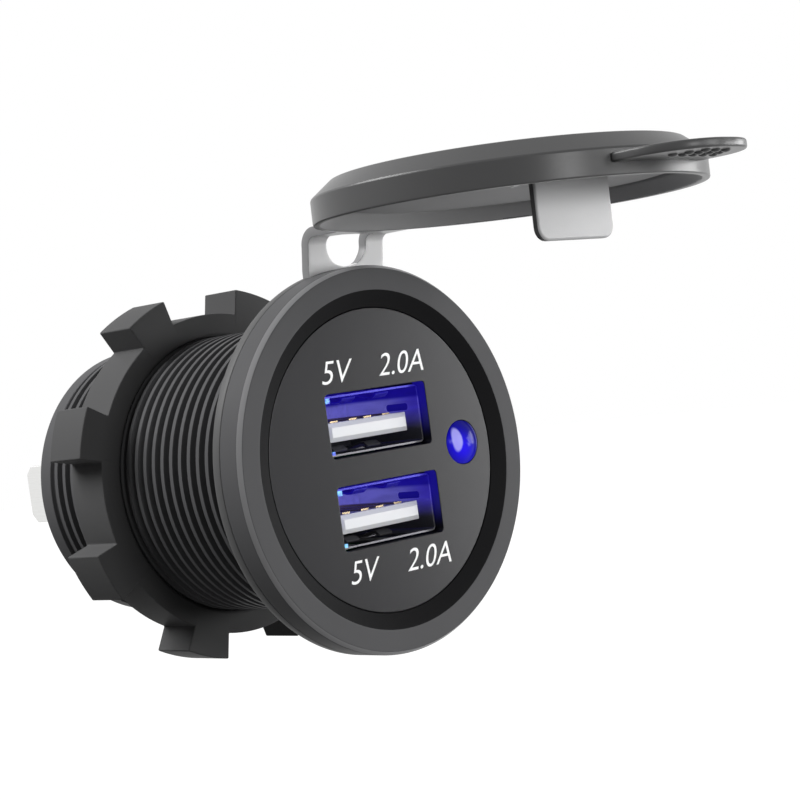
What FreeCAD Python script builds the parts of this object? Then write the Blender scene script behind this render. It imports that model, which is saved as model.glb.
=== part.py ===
import FreeCAD, Part
import os

import Sketcher

# Panel power socket with two charge ports, a ring nut and a hinged soft lid.
# Frame: millimetres, +Y along the barrel away from the driver, +Z up, +X to the
# right seen from the front. The origin is on the barrel's axis in the panel's
# front plane, where the sealing ring of the cap bears.

Vector = FreeCAD.Vector

# Driving dimensions in millimetres, each written once.
DIMENSIONS = {
    # Flange and the recessed face inside it.
    "flange_radius": 18.8,
    "flange_depth": 3.9,
    "flange_edge_radial": 0.35,
    "flange_edge_axial": 0.5,
    "cone_width": 1.7,
    "land_width": 2.4,
    "face_recess": 0.7,
    "face_radius": 14.7,
    "plate_thickness": 1.6,
    "plate_play": 0.05,
    # Barrel, plain at the crest radius of its thread.
    "thread_radius": 14.25,
    "barrel_length": 34.8,
    "barrel_end_radius": 14.1,
    "barrel_end_band": 3.4,
    "barrel_end_edge": 0.4,
    "front_bore": 12.4,
    "rear_bore": 11.6,
    # Castellated ring nut.
    "nut_play": 0.05,
    "nut_front": 19.9,
    "nut_length": 5.2,
    "nut_lug_radius": 19.35,
    "nut_wall": 2.4,
    "nut_lug_rise": 2.65,
    "nut_lug_width": 5.4,
    "nut_lug_count": 8,
    "nut_lug_turn": 25.7,
    "nut_lead_in": 0.3,
    # Charge ports.
    "port_width": 13.4,
    "port_height": 6.15,
    "upper_port_height": 3.9,
    "lower_port_height": -4.94,
    "port_corner": 0.4,
    "shell_side_play": 0.1,
    "shell_height_play": 0.15,
    "shell_wall": 0.3,
    "shell_recess": 1.0,
    "shell_length": 13.2,
    "shell_play_inner": 0.05,
    "spring_width": 2.0,
    "spring_length": 5.0,
    "spring_slot": 0.4,
    "spring_offset": 2.25,
    "side_slot_length": 2.7,
    "side_slot_height": 0.65,
    "side_slot_setback": 1.3,
    "side_slot_drop": 0.3,
    "tongue_width": 10.8,
    "tongue_thickness": 1.85,
    "tongue_drop": 0.63,
    "tongue_recess": 1.5,
    "tongue_bevel": 0.4,
    "insulator_depth": 3.0,
    "contact_width": 1.0,
    "contact_thickness": 0.15,
    "contact_inner_place": 1.0,
    "contact_outer_place": 3.5,
    "contact_setback": 0.8,
    "contact_tail": 1.0,
    # Indicator lamp.
    "lamp_place": 10.9,
    "lamp_height": 0.35,
    "lamp_hole_radius": 2.2,
    "lamp_play": 0.05,
    "lamp_dome": 0.75,
    "lamp_base_radius": 1.45,
    "lamp_base_length": 0.8,
    "lead_width": 0.5,
    "lead_spacing": 2.54,
    # Circuit boards and their components.
    "front_board_thickness": 1.2,
    "front_board_play": 0.1,
    "hole_play": 0.1,
    "power_board_half_width": 10.4,
    "power_board_thickness": 1.6,
    "power_board_gap": 1.1,
    "header_pitch": 2.54,
    "header_pins": 4,
    "header_pin_width": 0.64,
    "capacitor_radius": 3.15,
    "capacitor_height": 6.4,
    "capacitor_groove": 0.35,
    "capacitor_place": 5.5,
    "input_capacitor_depth": 23.8,
    "output_capacitor_depth": 16.5,
    "inductor_size": 7.3,
    "inductor_height": 4.4,
    "inductor_corner": 1.2,
    "inductor_place": 4.9,
    "inductor_depth": 23.65,
    "chip_width": 3.9,
    "chip_length": 4.9,
    "chip_height": 1.5,
    "chip_stand_off": 0.15,
    "chip_pin_pitch": 1.27,
    "chip_pin_width": 0.42,
    "chip_pin_reach": 1.05,
    "chip_pin_thickness": 0.2,
    "chip_place": 4.2,
    "chip_depth": 17.4,
    "diode_length": 4.4,
    "diode_width": 2.6,
    "diode_height": 2.2,
    "diode_place": 0.55,
    "diode_depth": 23.0,
    # Rear cover and the two blade terminals.
    "cover_radius": 12.6,
    "cover_play": 0.05,
    "cover_thickness": 2.2,
    "cover_boss_width": 3.4,
    "cover_boss_height": 8.6,
    "cover_boss_rise": 1.6,
    "blade_width": 6.3,
    "blade_thickness": 0.8,
    "blade_place": 7.5,
    "blade_reach": 11.0,
    "blade_inner_reach": 5.0,
    "blade_hole_radius": 0.9,
    "blade_hole_setback": 4.0,
    "blade_tip_bevel": 0.9,
    # Soft cap: sealing ring, strap and lid, shown open. The whole cap stands
    # turned a little about the barrel.
    "ring_thickness": 1.1,
    "ring_play": 0.1,
    "strap_width": 9.9,
    "strap_thickness": 1.0,
    "strap_lean": 0.5,
    "strap_inner_bend": 0.8,
    "strap_gap_width": 5.2,
    "strap_gap_foot_rise": 0.1,
    "strap_gap_foot_width": 1.8,
    "strap_gap_shoulder_rise": 1.6,
    "strap_rise": 0.1,
    "strap_clearance": 0.05,
    "hinge_depth": 2.7,
    "hinge_rise": 1.6,
    "lid_radius": 17.7,
    "lid_wall_height": 2.3,
    "lid_height": 3.85,
    "lid_top_radius": 15.75,
    "lid_rim_land": 0.65,
    "lid_recess": 1.3,
    "lid_recess_radius": 15.75,
    "lid_seat_gap": 0.15,
    "lid_plug_width": 10.0,
    "lid_plug_thickness": 0.75,
    "lid_plug_length": 4.15,
    "lid_plug_corner": 1.2,
    "lid_plug_gap": 0.16,
    "lid_plug_lead_in": 1.2,
    "lid_plug_lead_depth": 0.3,
    "tab_root_width": 11.8,
    "tab_tip_width": 11.8,
    "tab_reach": 7.4,
    "tab_corner": 3.2,
    "tab_thickness": 0.85,
    "tab_height": 1.05,
    "cap_turn": 1.25,
}


class Size(float):
    """A length that remembers the sheet expression that it comes from."""

    def __new__(cls, value, text):
        size = super().__new__(cls, value)
        size.text = text
        return size

    @staticmethod
    def of(value):
        """Return value as a Size, a bare number being its own text."""
        if isinstance(value, Size):
            return value
        return Size(value, repr(float(value)))

    def __add__(self, other):
        other = Size.of(other)
        return Size(float(self) + float(other), f"({self.text} + {other.text})")

    def __radd__(self, other):
        return Size.of(other) + self

    def __sub__(self, other):
        other = Size.of(other)
        return Size(float(self) - float(other), f"({self.text} - {other.text})")

    def __rsub__(self, other):
        return Size.of(other) - self

    def __mul__(self, other):
        other = Size.of(other)
        return Size(float(self) * float(other), f"({self.text} * {other.text})")

    def __rmul__(self, other):
        return Size.of(other) * self

    def __truediv__(self, other):
        other = Size.of(other)
        return Size(float(self) / float(other), f"({self.text} / {other.text})")

    def __neg__(self):
        return Size(-float(self), f"(0 - {self.text})")


class Sizes:
    """The driving dimensions, each read as a Size bound to its sheet cell."""

    def __init__(self, document, dimensions):
        self.sheet = document.addObject("Spreadsheet::Sheet", "Sizes")
        for row, (name, value) in enumerate(dimensions.items(), start=1):
            self.sheet.set(f"A{row}", name)
            self.sheet.set(f"B{row}", str(value))
            self.sheet.setAlias(f"B{row}", name)
            setattr(self, name, Size(value, f"Sizes.{name}"))


doc = FreeCAD.newDocument("PowerSocket")
s = Sizes(doc, DIMENSIONS)
doc.recompute()

# Places worked out from the driving dimensions.
flange_front = -s.flange_depth
flange_rear = -s.ring_thickness
face_front = flange_front + s.face_recess
face_rear = face_front + s.plate_thickness
shell_front = face_front + s.shell_recess
shell_rear = shell_front + s.shell_length
board_front = shell_rear
board_rear = board_front + s.front_board_thickness
cover_seat = s.barrel_length - s.cover_thickness
power_board_rear = cover_seat - s.power_board_gap
board_top = s.power_board_thickness / 2
tongue_front = face_front + s.tongue_recess
insulator_front = shell_rear - s.insulator_depth
mouth_share = s.cone_width / (s.cone_width + s.land_width)
mouth_radius = s.face_radius + (s.flange_radius - s.face_radius) * mouth_share
flange_edge = (s.flange_radius - mouth_radius) * s.flange_edge_radial / s.land_width
nut_bore = s.thread_radius + s.nut_play
nut_wall = (s.nut_lug_radius - nut_bore) * s.nut_wall / (s.nut_wall + s.nut_lug_rise)
nut_ring_radius = nut_bore + nut_wall
nut_lead_in = nut_wall * s.nut_lead_in / s.nut_wall
shell_width = s.port_width - 2 * s.shell_side_play
shell_height = s.port_height - 2 * s.shell_height_play
shell_inner_width = shell_width - 2 * s.shell_wall
shell_inner_height = shell_height - 2 * s.shell_wall
# The lid turns a quarter about the hinge axis, from shut to open.
hinge_height = s.flange_radius + s.hinge_rise
lid_axis_depth = -(s.hinge_depth + hinge_height)
lid_rim_height = hinge_height - s.hinge_depth + s.flange_depth + s.lid_seat_gap
strap_underside = lid_rim_height + s.strap_rise
strap_top = strap_underside + s.strap_thickness
strap_foot = s.flange_radius / 2


def new_body(label):
    """Start a PartDesign body that will be written as one sub-part."""
    body = doc.addObject("PartDesign::Body", label)
    body.Label = label
    return body


def new_sketch(body, plane, offset=0.0):
    """Attach a sketch to one of the body's own origin planes, moved along its normal."""
    planes = [item for item in body.Origin.OriginFeatures if item.Role == plane]
    sketch = body.newObject("Sketcher::SketchObject", "Outline")
    sketch.AttachmentSupport = [(planes[0], "")]
    sketch.MapMode = "FlatFace"
    offset = Size.of(offset)
    sketch.AttachmentOffset = FreeCAD.Placement(Vector(0, 0, offset), FreeCAD.Rotation())
    sketch.setExpression("AttachmentOffset.Base.z", offset.text)
    return sketch


def bind(sketch, constraint, size):
    """Add a sketch constraint whose value follows the sheet."""
    index = sketch.addConstraint(constraint)
    sketch.setExpression(f"Constraints[{index}]", size.text)


def place_point(sketch, element, point, across, along):
    """Fix one point of a sketch element at a place given by two sizes."""
    across, along = Size.of(across), Size.of(along)
    bind(sketch, Sketcher.Constraint("DistanceX", -1, 1, element, point, float(across)), across)
    bind(sketch, Sketcher.Constraint("DistanceY", -1, 1, element, point, float(along)), along)


def polygon(sketch, corners):
    """Draw a closed outline of straight edges through the given corners."""
    first = sketch.GeometryCount
    count = len(corners)
    ends = corners[1:] + corners[:1]
    for start, end in zip(corners, ends):
        edge = Part.LineSegment(Vector(start[0], start[1], 0), Vector(end[0], end[1], 0))
        sketch.addGeometry(edge, False)
    for index in range(count):
        following = first + (index + 1) % count
        sketch.addConstraint(Sketcher.Constraint("Coincident", first + index, 2, following, 1))
    for index, corner in enumerate(corners):
        place_point(sketch, first + index, 1, *corner)


def rectangle(sketch, width, height, across=0.0, along=0.0):
    """Draw a rectangle about a centre."""
    half_width, half_height = Size.of(width) / 2, Size.of(height) / 2
    across, along = Size.of(across), Size.of(along)
    left, right = across - half_width, across + half_width
    low, high = along - half_height, along + half_height
    polygon(sketch, [(left, low), (right, low), (right, high), (left, high)])


def circle(sketch, radius, across=0.0, along=0.0):
    """Draw a circle about a centre."""
    across, along, radius = Size.of(across), Size.of(along), Size.of(radius)
    centre = Vector(across, along, 0)
    index = sketch.addGeometry(Part.Circle(centre, Vector(0, 0, 1), radius), False)
    bind(sketch, Sketcher.Constraint("Radius", index, float(radius)), radius)
    place_point(sketch, index, 3, across, along)


def revolve(body, sketch, axis="V_Axis", cut=False):
    """Turn an outline a full circle about an axis of its sketch."""
    kind = "PartDesign::Groove" if cut else "PartDesign::Revolution"
    turned = body.newObject(kind, "Turned")
    turned.Profile = sketch
    turned.ReferenceAxis = (sketch, [axis])
    turned.Angle = 360
    return turned


def pad(body, sketch, length, backwards=False):
    """Extrude an outline along its normal, or against it."""
    raised = body.newObject("PartDesign::Pad", "Raised")
    raised.Profile = sketch
    raised.Reversed = backwards
    raised.setExpression("Length", Size.of(length).text)
    return raised


def pocket(body, sketch, depth=None, backwards=False):
    """Cut an outline to a depth, or through everything both ways."""
    cut = body.newObject("PartDesign::Pocket", "Cut")
    cut.Profile = sketch
    cut.Reversed = backwards
    if depth is None:
        cut.Type = 1
        cut.SideType = "Two sides"
        cut.Type2 = 1
    else:
        cut.setExpression("Length", Size.of(depth).text)
    before = volume_of(body, cut)
    doc.recompute()
    if cut.Shape.Volume >= before:
        raise RuntimeError(f"a pocket of {body.Label} cuts nothing")
    return cut


def volume_of(body, feature):
    """Return the volume of the body just before a feature."""
    doc.recompute()
    base = feature.BaseFeature
    return base.Shape.Volume if base else 0.0


def round_edges(body, radius, chosen, name="Rounded"):
    """Fillet the edges of the body's tip that a test accepts."""
    doc.recompute()
    tip = body.Tip
    names = [f"Edge{i}" for i, edge in enumerate(tip.Shape.Edges, start=1) if chosen(edge)]
    if not names:
        raise RuntimeError(f"{body.Label} has no edge to round")
    rounded = body.newObject("PartDesign::Fillet", name)
    rounded.Base = (tip, names)
    rounded.setExpression("Radius", Size.of(radius).text)
    return rounded


def bevel_edges(body, size, chosen):
    """Chamfer the edges of the body's tip that a test accepts."""
    doc.recompute()
    tip = body.Tip
    names = [f"Edge{i}" for i, edge in enumerate(tip.Shape.Edges, start=1) if chosen(edge)]
    if not names:
        raise RuntimeError(f"{body.Label} has no edge to bevel")
    bevelled = body.newObject("PartDesign::Chamfer", "Bevelled")
    bevelled.Base = (tip, names)
    bevelled.setExpression("Size", Size.of(size).text)
    return bevelled


def runs_along(edge, axis):
    """Tell whether a straight edge runs along a unit vector."""
    if len(edge.Vertexes) != 2:
        return False
    span = edge.Vertexes[1].Point - edge.Vertexes[0].Point
    return span.Length > 1e-6 and abs(abs(span.dot(axis)) - span.Length) < 1e-6


def near(value, place, within=1e-4):
    """Tell whether a coordinate is at a place."""
    return abs(value - float(place)) < within


def repeat_round(body, feature, sketch, count):
    """Repeat a feature evenly round the sketch's normal."""
    ring = body.newObject("PartDesign::PolarPattern", "Ring")
    ring.Originals = [feature]
    ring.Axis = (sketch, ["N_Axis"])
    ring.Angle = 360
    ring.setExpression("Occurrences", Size.of(count).text)
    body.Tip = ring
    return ring


def box(name, width, depth, height, left, front, bottom):
    """Make a block from its three sizes and its lowest corner."""
    block = doc.addObject("Part::Box", name)
    block.setExpression("Length", Size.of(width).text)
    block.setExpression("Width", Size.of(depth).text)
    block.setExpression("Height", Size.of(height).text)
    block.setExpression("Placement.Base.x", Size.of(left).text)
    block.setExpression("Placement.Base.y", Size.of(front).text)
    block.setExpression("Placement.Base.z", Size.of(bottom).text)
    return block


def fuse(label, pieces):
    """Join primitives that belong to one moulded or soldered piece."""
    joined = doc.addObject("Part::MultiFuse", label)
    joined.Label = label
    joined.Shapes = pieces
    return joined


def compound(label, pieces):
    """Group separate solids of one set under one name."""
    group = doc.addObject("Part::Compound", label)
    group.Label = label
    group.Links = pieces
    return group


def make_housing():
    """Flange and barrel, moulded in one piece and open at both ends."""
    body = new_body("housing")
    sketch = new_sketch(body, "XY_Plane")
    seat_radius = s.face_radius + s.plate_play
    cover_bore = s.cover_radius + s.cover_play
    end_band_start = s.barrel_length - s.barrel_end_band
    polygon(sketch, [
        (mouth_radius, flange_front),
        (s.flange_radius - flange_edge, flange_front),
        (s.flange_radius, flange_front + s.flange_edge_axial),
        (s.flange_radius, flange_rear),
        (s.thread_radius, flange_rear),
        (s.thread_radius, end_band_start),
        (s.barrel_end_radius, end_band_start),
        (s.barrel_end_radius, s.barrel_length - s.barrel_end_edge),
        (s.barrel_end_radius - s.barrel_end_edge, s.barrel_length),
        (cover_bore, s.barrel_length),
        (cover_bore, cover_seat),
        (s.rear_bore, cover_seat),
        (s.rear_bore, board_rear),
        (s.front_bore, board_rear),
        (s.front_bore, face_rear),
        (seat_radius, face_rear),
        (seat_radius, face_front),
    ])
    revolve(body, sketch)
    return body


def make_face_plate():
    """Recessed front plate with its two port openings and the lamp's hole."""
    body = new_body("face_plate")
    disc = new_sketch(body, "XZ_Plane", -face_front)
    circle(disc, s.face_radius)
    pad(body, disc, s.plate_thickness, backwards=True)
    for height in (s.upper_port_height, s.lower_port_height):
        opening = new_sketch(body, "XZ_Plane", -face_front)
        rectangle(opening, s.port_width, s.port_height, 0.0, height)
        pocket(body, opening)
    lamp_hole = new_sketch(body, "XZ_Plane", -face_front)
    circle(lamp_hole, s.lamp_hole_radius, s.lamp_place, s.lamp_height)
    pocket(body, lamp_hole)
    y_axis = Vector(0, 1, 0)
    corner_reach = float(s.port_width) / 2
    round_edges(body, s.port_corner, lambda edge: runs_along(edge, y_axis)
                and near(abs(edge.Vertexes[0].X), corner_reach))
    return body


def make_ring_nut():
    """Ring nut with square lugs round it, which clamps the panel from behind."""
    body = new_body("ring_nut")
    ring = new_sketch(body, "XY_Plane")
    nut_rear = s.nut_front + s.nut_length
    polygon(ring, [
        (nut_bore + nut_lead_in, s.nut_front),
        (nut_ring_radius, s.nut_front),
        (nut_ring_radius, nut_rear),
        (nut_bore + nut_lead_in, nut_rear),
        (nut_bore, nut_rear - s.nut_lead_in),
        (nut_bore, s.nut_front + s.nut_lead_in),
    ])
    revolve(body, ring)
    lug = new_sketch(body, "XZ_Plane", -s.nut_front)
    middle = (nut_bore + nut_ring_radius) / 2
    beyond = s.nut_lug_radius + s.nut_wall
    slope = s.nut_lug_width / s.nut_lug_radius / 2
    polygon(lug, [
        (middle, -slope * middle), (beyond, -slope * beyond),
        (beyond, slope * beyond), (middle, slope * middle),
    ])
    raised = pad(body, lug, s.nut_length, backwards=True)
    repeat_round(body, raised, lug, s.nut_lug_count)
    trim = new_sketch(body, "XY_Plane")
    rectangle(trim, s.nut_lug_width, s.nut_length * 2,
              s.nut_lug_radius + s.nut_lug_width / 2, s.nut_front + s.nut_length / 2)
    revolve(body, trim, cut=True)
    body.Placement = FreeCAD.Placement(Vector(), FreeCAD.Rotation(Vector(0, 1, 0), 0))
    body.Placement.Rotation.Axis = Vector(0, -1, 0)
    body.setExpression("Placement.Rotation.Angle", s.nut_lug_turn.text)
    return body


def make_port(prefix, height):
    """Shell, insulator with its tongue, and contacts of one charge port."""
    make_port_shell(f"{prefix}_shell", height)
    make_port_insulator(f"{prefix}_tongue", height)
    make_port_contacts(f"{prefix}_contacts", height)


def make_port_shell(label, height):
    """Folded sheet shell with two latch springs in its top and bottom, and side slots."""
    body = new_body(label)
    outline = new_sketch(body, "XZ_Plane", -shell_front)
    rectangle(outline, shell_width, shell_height, 0.0, height)
    rectangle(outline, shell_inner_width, shell_inner_height, 0.0, height)
    pad(body, outline, s.shell_length, backwards=True)
    y_axis = Vector(0, 1, 0)
    corner_reach = float(shell_width) / 2
    round_edges(body, s.port_corner, lambda edge: runs_along(edge, y_axis)
                and near(abs(edge.Vertexes[0].X), corner_reach))
    slots = new_sketch(body, "XY_Plane")
    slot_front = shell_front + s.spring_slot
    slot_rear = slot_front + s.spring_length
    for side in (-1, 1):
        place = side * s.spring_offset
        inner, outer = s.spring_width / 2, s.spring_width / 2 + s.spring_slot
        polygon(slots, [
            (place - outer, slot_front), (place + outer, slot_front),
            (place + outer, slot_rear), (place + inner, slot_rear),
            (place + inner, slot_front + s.spring_slot),
            (place - inner, slot_front + s.spring_slot),
            (place - inner, slot_rear), (place - outer, slot_rear),
        ])
    pocket(body, slots)
    side = new_sketch(body, "YZ_Plane")
    rectangle(side, s.side_slot_length, s.side_slot_height,
              shell_front + s.side_slot_setback + s.side_slot_length / 2,
              height + s.side_slot_drop)
    pocket(body, side)


def make_port_insulator(label, height):
    """White insulator: a bevelled tongue on a block that fills the shell's rear."""
    body = new_body(label)
    block = new_sketch(body, "XZ_Plane", -insulator_front)
    rectangle(block, shell_inner_width - 2 * s.shell_play_inner,
              shell_inner_height - 2 * s.shell_play_inner, 0.0, height)
    pad(body, block, s.insulator_depth, backwards=True)
    tongue = new_sketch(body, "XZ_Plane", -tongue_front)
    rectangle(tongue, s.tongue_width, s.tongue_thickness, 0.0, height - s.tongue_drop)
    pad(body, tongue, insulator_front - tongue_front, backwards=True)
    bevel_edges(body, s.tongue_bevel, lambda edge: near(edge.BoundBox.YMin, tongue_front)
                and near(edge.BoundBox.YMax, tongue_front))
    slots = new_sketch(body, "XZ_Plane", -insulator_front)
    level = height - s.tongue_drop + (s.tongue_thickness + s.contact_thickness) / 2
    for place in contact_places():
        rectangle(slots, s.contact_width, s.contact_thickness, place, level)
    pocket(body, slots, s.insulator_depth)


def contact_places():
    """Return where the four contacts of a port stand across it."""
    inner, outer = s.contact_inner_place, s.contact_outer_place
    return (-outer, -inner, inner, outer)


def make_port_contacts(label, height):
    """Four flat contacts along the tongue, with tails through the front board."""
    front = tongue_front + s.tongue_bevel + s.contact_setback
    length = board_rear + s.contact_tail - front
    bottom = height - s.tongue_drop + s.tongue_thickness / 2
    blades = [box(f"{label}_{index}", s.contact_width, length, s.contact_thickness,
                  place - s.contact_width / 2, front, bottom)
              for index, place in enumerate(contact_places())]
    compound(label, blades)


def make_lamp():
    """Domed blue lamp in its hole, and the two leads that carry it."""
    body = new_body("lamp")
    sketch = new_sketch(body, "XY_Plane", s.lamp_height)
    radius = s.lamp_hole_radius - s.lamp_play
    shoulder = face_front
    step = s.lamp_dome / 3
    polygon(sketch, [
        (s.lamp_place, shoulder - s.lamp_dome),
        (s.lamp_place + radius * 0.42, shoulder - s.lamp_dome + step * 0.35),
        (s.lamp_place + radius * 0.74, shoulder - s.lamp_dome + step * 1.2),
        (s.lamp_place + radius, shoulder),
        (s.lamp_place + radius, face_rear),
        (s.lamp_place + s.lamp_base_radius, face_rear),
        (s.lamp_place + s.lamp_base_radius, face_rear + s.lamp_base_length),
        (s.lamp_place, face_rear + s.lamp_base_length),
    ])
    turned = body.newObject("PartDesign::Revolution", "Turned")
    turned.Profile = sketch
    turned.ReferenceAxis = (sketch, [f"Edge{sketch.GeometryCount}"])
    turned.Angle = 360
    front = face_rear + s.lamp_base_length
    length = board_rear + s.contact_tail - front
    leads = [box(f"lamp_lead_{index}", s.lead_width, length, s.lead_width,
                 s.lamp_place - s.lead_width / 2, front,
                 s.lamp_height + side * s.lead_spacing / 2 - s.lead_width / 2)
             for index, side in enumerate((-1, 1))]
    compound("lamp_leads", leads)


def make_front_board():
    """Round board that carries both ports and the lamp, on the barrel's shoulder."""
    body = new_body("front_board")
    disc = new_sketch(body, "XZ_Plane", -board_front)
    circle(disc, s.front_bore - s.front_board_play)
    pad(body, disc, s.front_board_thickness, backwards=True)
    holes = new_sketch(body, "XZ_Plane", -board_front)
    for height in (s.upper_port_height, s.lower_port_height):
        level = height - s.tongue_drop + (s.tongue_thickness + s.contact_thickness) / 2
        for place in contact_places():
            rectangle(holes, s.contact_width + s.hole_play,
                      s.contact_thickness + s.hole_play, place, level)
    for side in (-1, 1):
        rectangle(holes, s.lead_width + s.hole_play, s.lead_width + s.hole_play,
                  s.lamp_place, s.lamp_height + side * s.lead_spacing / 2)
    pocket(body, holes)


def make_power_board():
    """Board along the barrel that turns the vehicle's supply into charge power."""
    body = new_body("power_board")
    outline = new_sketch(body, "XY_Plane", -board_top)
    half = s.power_board_half_width
    slot_front = power_board_rear - (s.blade_inner_reach - cover_seat + power_board_rear)
    inner = s.blade_place - s.blade_thickness / 2
    outer = s.blade_place + s.blade_thickness / 2
    polygon(outline, [
        (-half, board_rear), (half, board_rear), (half, power_board_rear),
        (outer, power_board_rear), (outer, slot_front),
        (inner, slot_front), (inner, power_board_rear),
        (-inner, power_board_rear), (-inner, slot_front),
        (-outer, slot_front), (-outer, power_board_rear),
        (-half, power_board_rear),
    ])
    pad(body, outline, s.power_board_thickness)


def make_header():
    """Row of square pins that joins the two boards at a right angle."""
    pins = []
    level = -board_top - s.header_pin_width
    front = board_rear
    for index in range(DIMENSIONS["header_pins"]):
        place = (index - (s.header_pins - 1) / 2) * s.header_pitch
        pins.append(box(f"board_pin_{index}", s.header_pin_width, s.header_pitch * 2,
                        s.header_pin_width, place - s.header_pin_width / 2, front, level))
    compound("board_pins", pins)


def make_capacitor(label, place, depth):
    """Standing can capacitor with the rolled groove near its foot."""
    body = new_body(label)
    sketch = new_sketch(body, "XZ_Plane")
    radius, groove = s.capacitor_radius, s.capacitor_groove
    polygon(sketch, [
        (0.0, 0.0), (radius, 0.0), (radius, 2 * groove), (radius - groove, 3 * groove),
        (radius, 4 * groove), (radius, s.capacitor_height - groove),
        (radius - groove, s.capacitor_height), (0.0, s.capacitor_height),
    ])
    revolve(body, sketch)
    body.setExpression("Placement.Base.x", place.text)
    body.setExpression("Placement.Base.y", depth.text)
    body.setExpression("Placement.Base.z", board_top.text)


def make_inductor():
    """Shielded square inductor with bevelled corners and a round core top."""
    body = new_body("inductor")
    base = new_sketch(body, "XY_Plane")
    half, corner = s.inductor_size / 2, s.inductor_corner
    polygon(base, [
        (-half + corner, -half), (half - corner, -half), (half, -half + corner),
        (half, half - corner), (half - corner, half), (-half + corner, half),
        (-half, half - corner), (-half, -half + corner),
    ])
    pad(body, base, s.inductor_height)
    ring = new_sketch(body, "XY_Plane", s.inductor_height)
    circle(ring, half - corner / 2)
    circle(ring, half - corner)
    pocket(body, ring, corner / 2)
    body.setExpression("Placement.Base.x", s.inductor_place.text)
    body.setExpression("Placement.Base.y", s.inductor_depth.text)
    body.setExpression("Placement.Base.z", board_top.text)


def make_chip():
    """Converter chip with four legs along each side."""
    left = -s.chip_place - s.chip_width / 2
    front = s.chip_depth - s.chip_length / 2
    pieces = [box("chip_body", s.chip_width, s.chip_length,
                  s.chip_height - s.chip_stand_off, left, front,
                  board_top + s.chip_stand_off)]
    leg_height = s.chip_height / 2
    for side in (-1, 1):
        edge = -s.chip_place + side * s.chip_width / 2
        reach = s.chip_pin_reach
        shoulder_left = edge - reach / 2 if side < 0 else edge
        foot_left = edge - reach if side < 0 else edge + reach / 2 - s.chip_pin_thickness
        post_left = edge - reach / 2 if side < 0 else edge + reach / 2 - s.chip_pin_thickness
        for row in range(4):
            along = s.chip_depth + (row - 1.5) * s.chip_pin_pitch - s.chip_pin_width / 2
            name = f"chip_leg_{row}_{(side + 1) // 2}"
            pieces.append(box(f"{name}_shoulder", reach / 2, s.chip_pin_width,
                              s.chip_pin_thickness, shoulder_left, along,
                              board_top + leg_height - s.chip_pin_thickness))
            pieces.append(box(f"{name}_post", s.chip_pin_thickness, s.chip_pin_width,
                              leg_height, post_left, along, board_top))
            pieces.append(box(f"{name}_foot", reach / 2 + s.chip_pin_thickness,
                              s.chip_pin_width, s.chip_pin_thickness, foot_left, along,
                              board_top))
    fuse("converter_chip", pieces)


def make_diode():
    """Flat moulded diode along the barrel, with a metal end wrapped under each end."""
    cap = s.chip_pin_thickness
    left = -s.diode_place - s.diode_width / 2
    front = s.diode_depth - s.diode_length / 2
    case = box("diode_case", s.diode_width, s.diode_length, s.diode_height - cap,
               left, front, board_top + cap)
    end_length = s.diode_length / 4
    end_left = -s.diode_place - s.diode_width / 4
    ends = [box(f"diode_end_{index}", s.diode_width / 2, end_length, cap,
                end_left, place, board_top)
            for index, place in enumerate((front, front + s.diode_length - end_length))]
    fuse("output_diode", [case] + ends)


def make_rear_cover():
    """Cover that closes the barrel's end, with a slotted boss for each blade."""
    body = new_body("rear_cover")
    disc = new_sketch(body, "XZ_Plane", -cover_seat)
    circle(disc, s.cover_radius)
    pad(body, disc, s.cover_thickness, backwards=True)
    bosses = new_sketch(body, "XZ_Plane", -s.barrel_length)
    for side in (-1, 1):
        rectangle(bosses, s.cover_boss_width, s.cover_boss_height, side * s.blade_place)
    pad(body, bosses, s.cover_boss_rise, backwards=True)
    slots = new_sketch(body, "XZ_Plane", -cover_seat)
    for side in (-1, 1):
        rectangle(slots, s.blade_thickness, s.blade_width, side * s.blade_place)
    pocket(body, slots)


def make_blade(label, side):
    """Blade terminal: flat tongue with a bevelled tip and a catch hole."""
    body = new_body(label)
    inner_end = cover_seat - s.blade_inner_reach
    outer_end = s.barrel_length + s.blade_reach
    half, bevel = s.blade_width / 2, s.blade_tip_bevel
    place = side * s.blade_place
    outline = new_sketch(body, "YZ_Plane", place - s.blade_thickness / 2)
    polygon(outline, [
        (inner_end, -half), (outer_end - bevel, -half), (outer_end, -half + bevel),
        (outer_end, half - bevel), (outer_end - bevel, half), (inner_end, half),
    ])
    pad(body, outline, s.blade_thickness)
    hole = new_sketch(body, "YZ_Plane", place - s.blade_thickness / 2)
    circle(hole, s.blade_hole_radius, outer_end - s.blade_hole_setback, 0.0)
    pocket(body, hole)


def turn_cap(body, depth=0.0, height=0.0):
    """Stand a piece of the cap at its place and turn it with the cap about the barrel."""
    depth, height = Size.of(depth), Size.of(height)
    body.Placement = FreeCAD.Placement(Vector(), FreeCAD.Rotation(Vector(0, 1, 0), 1))
    body.setExpression("Placement.Rotation.Angle", s.cap_turn.text)
    body.setExpression("Placement.Base.x", f"{height.text} * sin({s.cap_turn.text})")
    body.setExpression("Placement.Base.y", depth.text)
    body.setExpression("Placement.Base.z", f"{height.text} * cos({s.cap_turn.text})")


def make_cap_ring():
    """Sealing ring of the soft cap, trapped between flange and panel."""
    body = new_body("cap_ring")
    ring = new_sketch(body, "XZ_Plane", -flange_rear)
    circle(ring, s.flange_radius)
    circle(ring, s.thread_radius + s.ring_play)
    pad(body, ring, s.ring_thickness, backwards=True)


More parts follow.
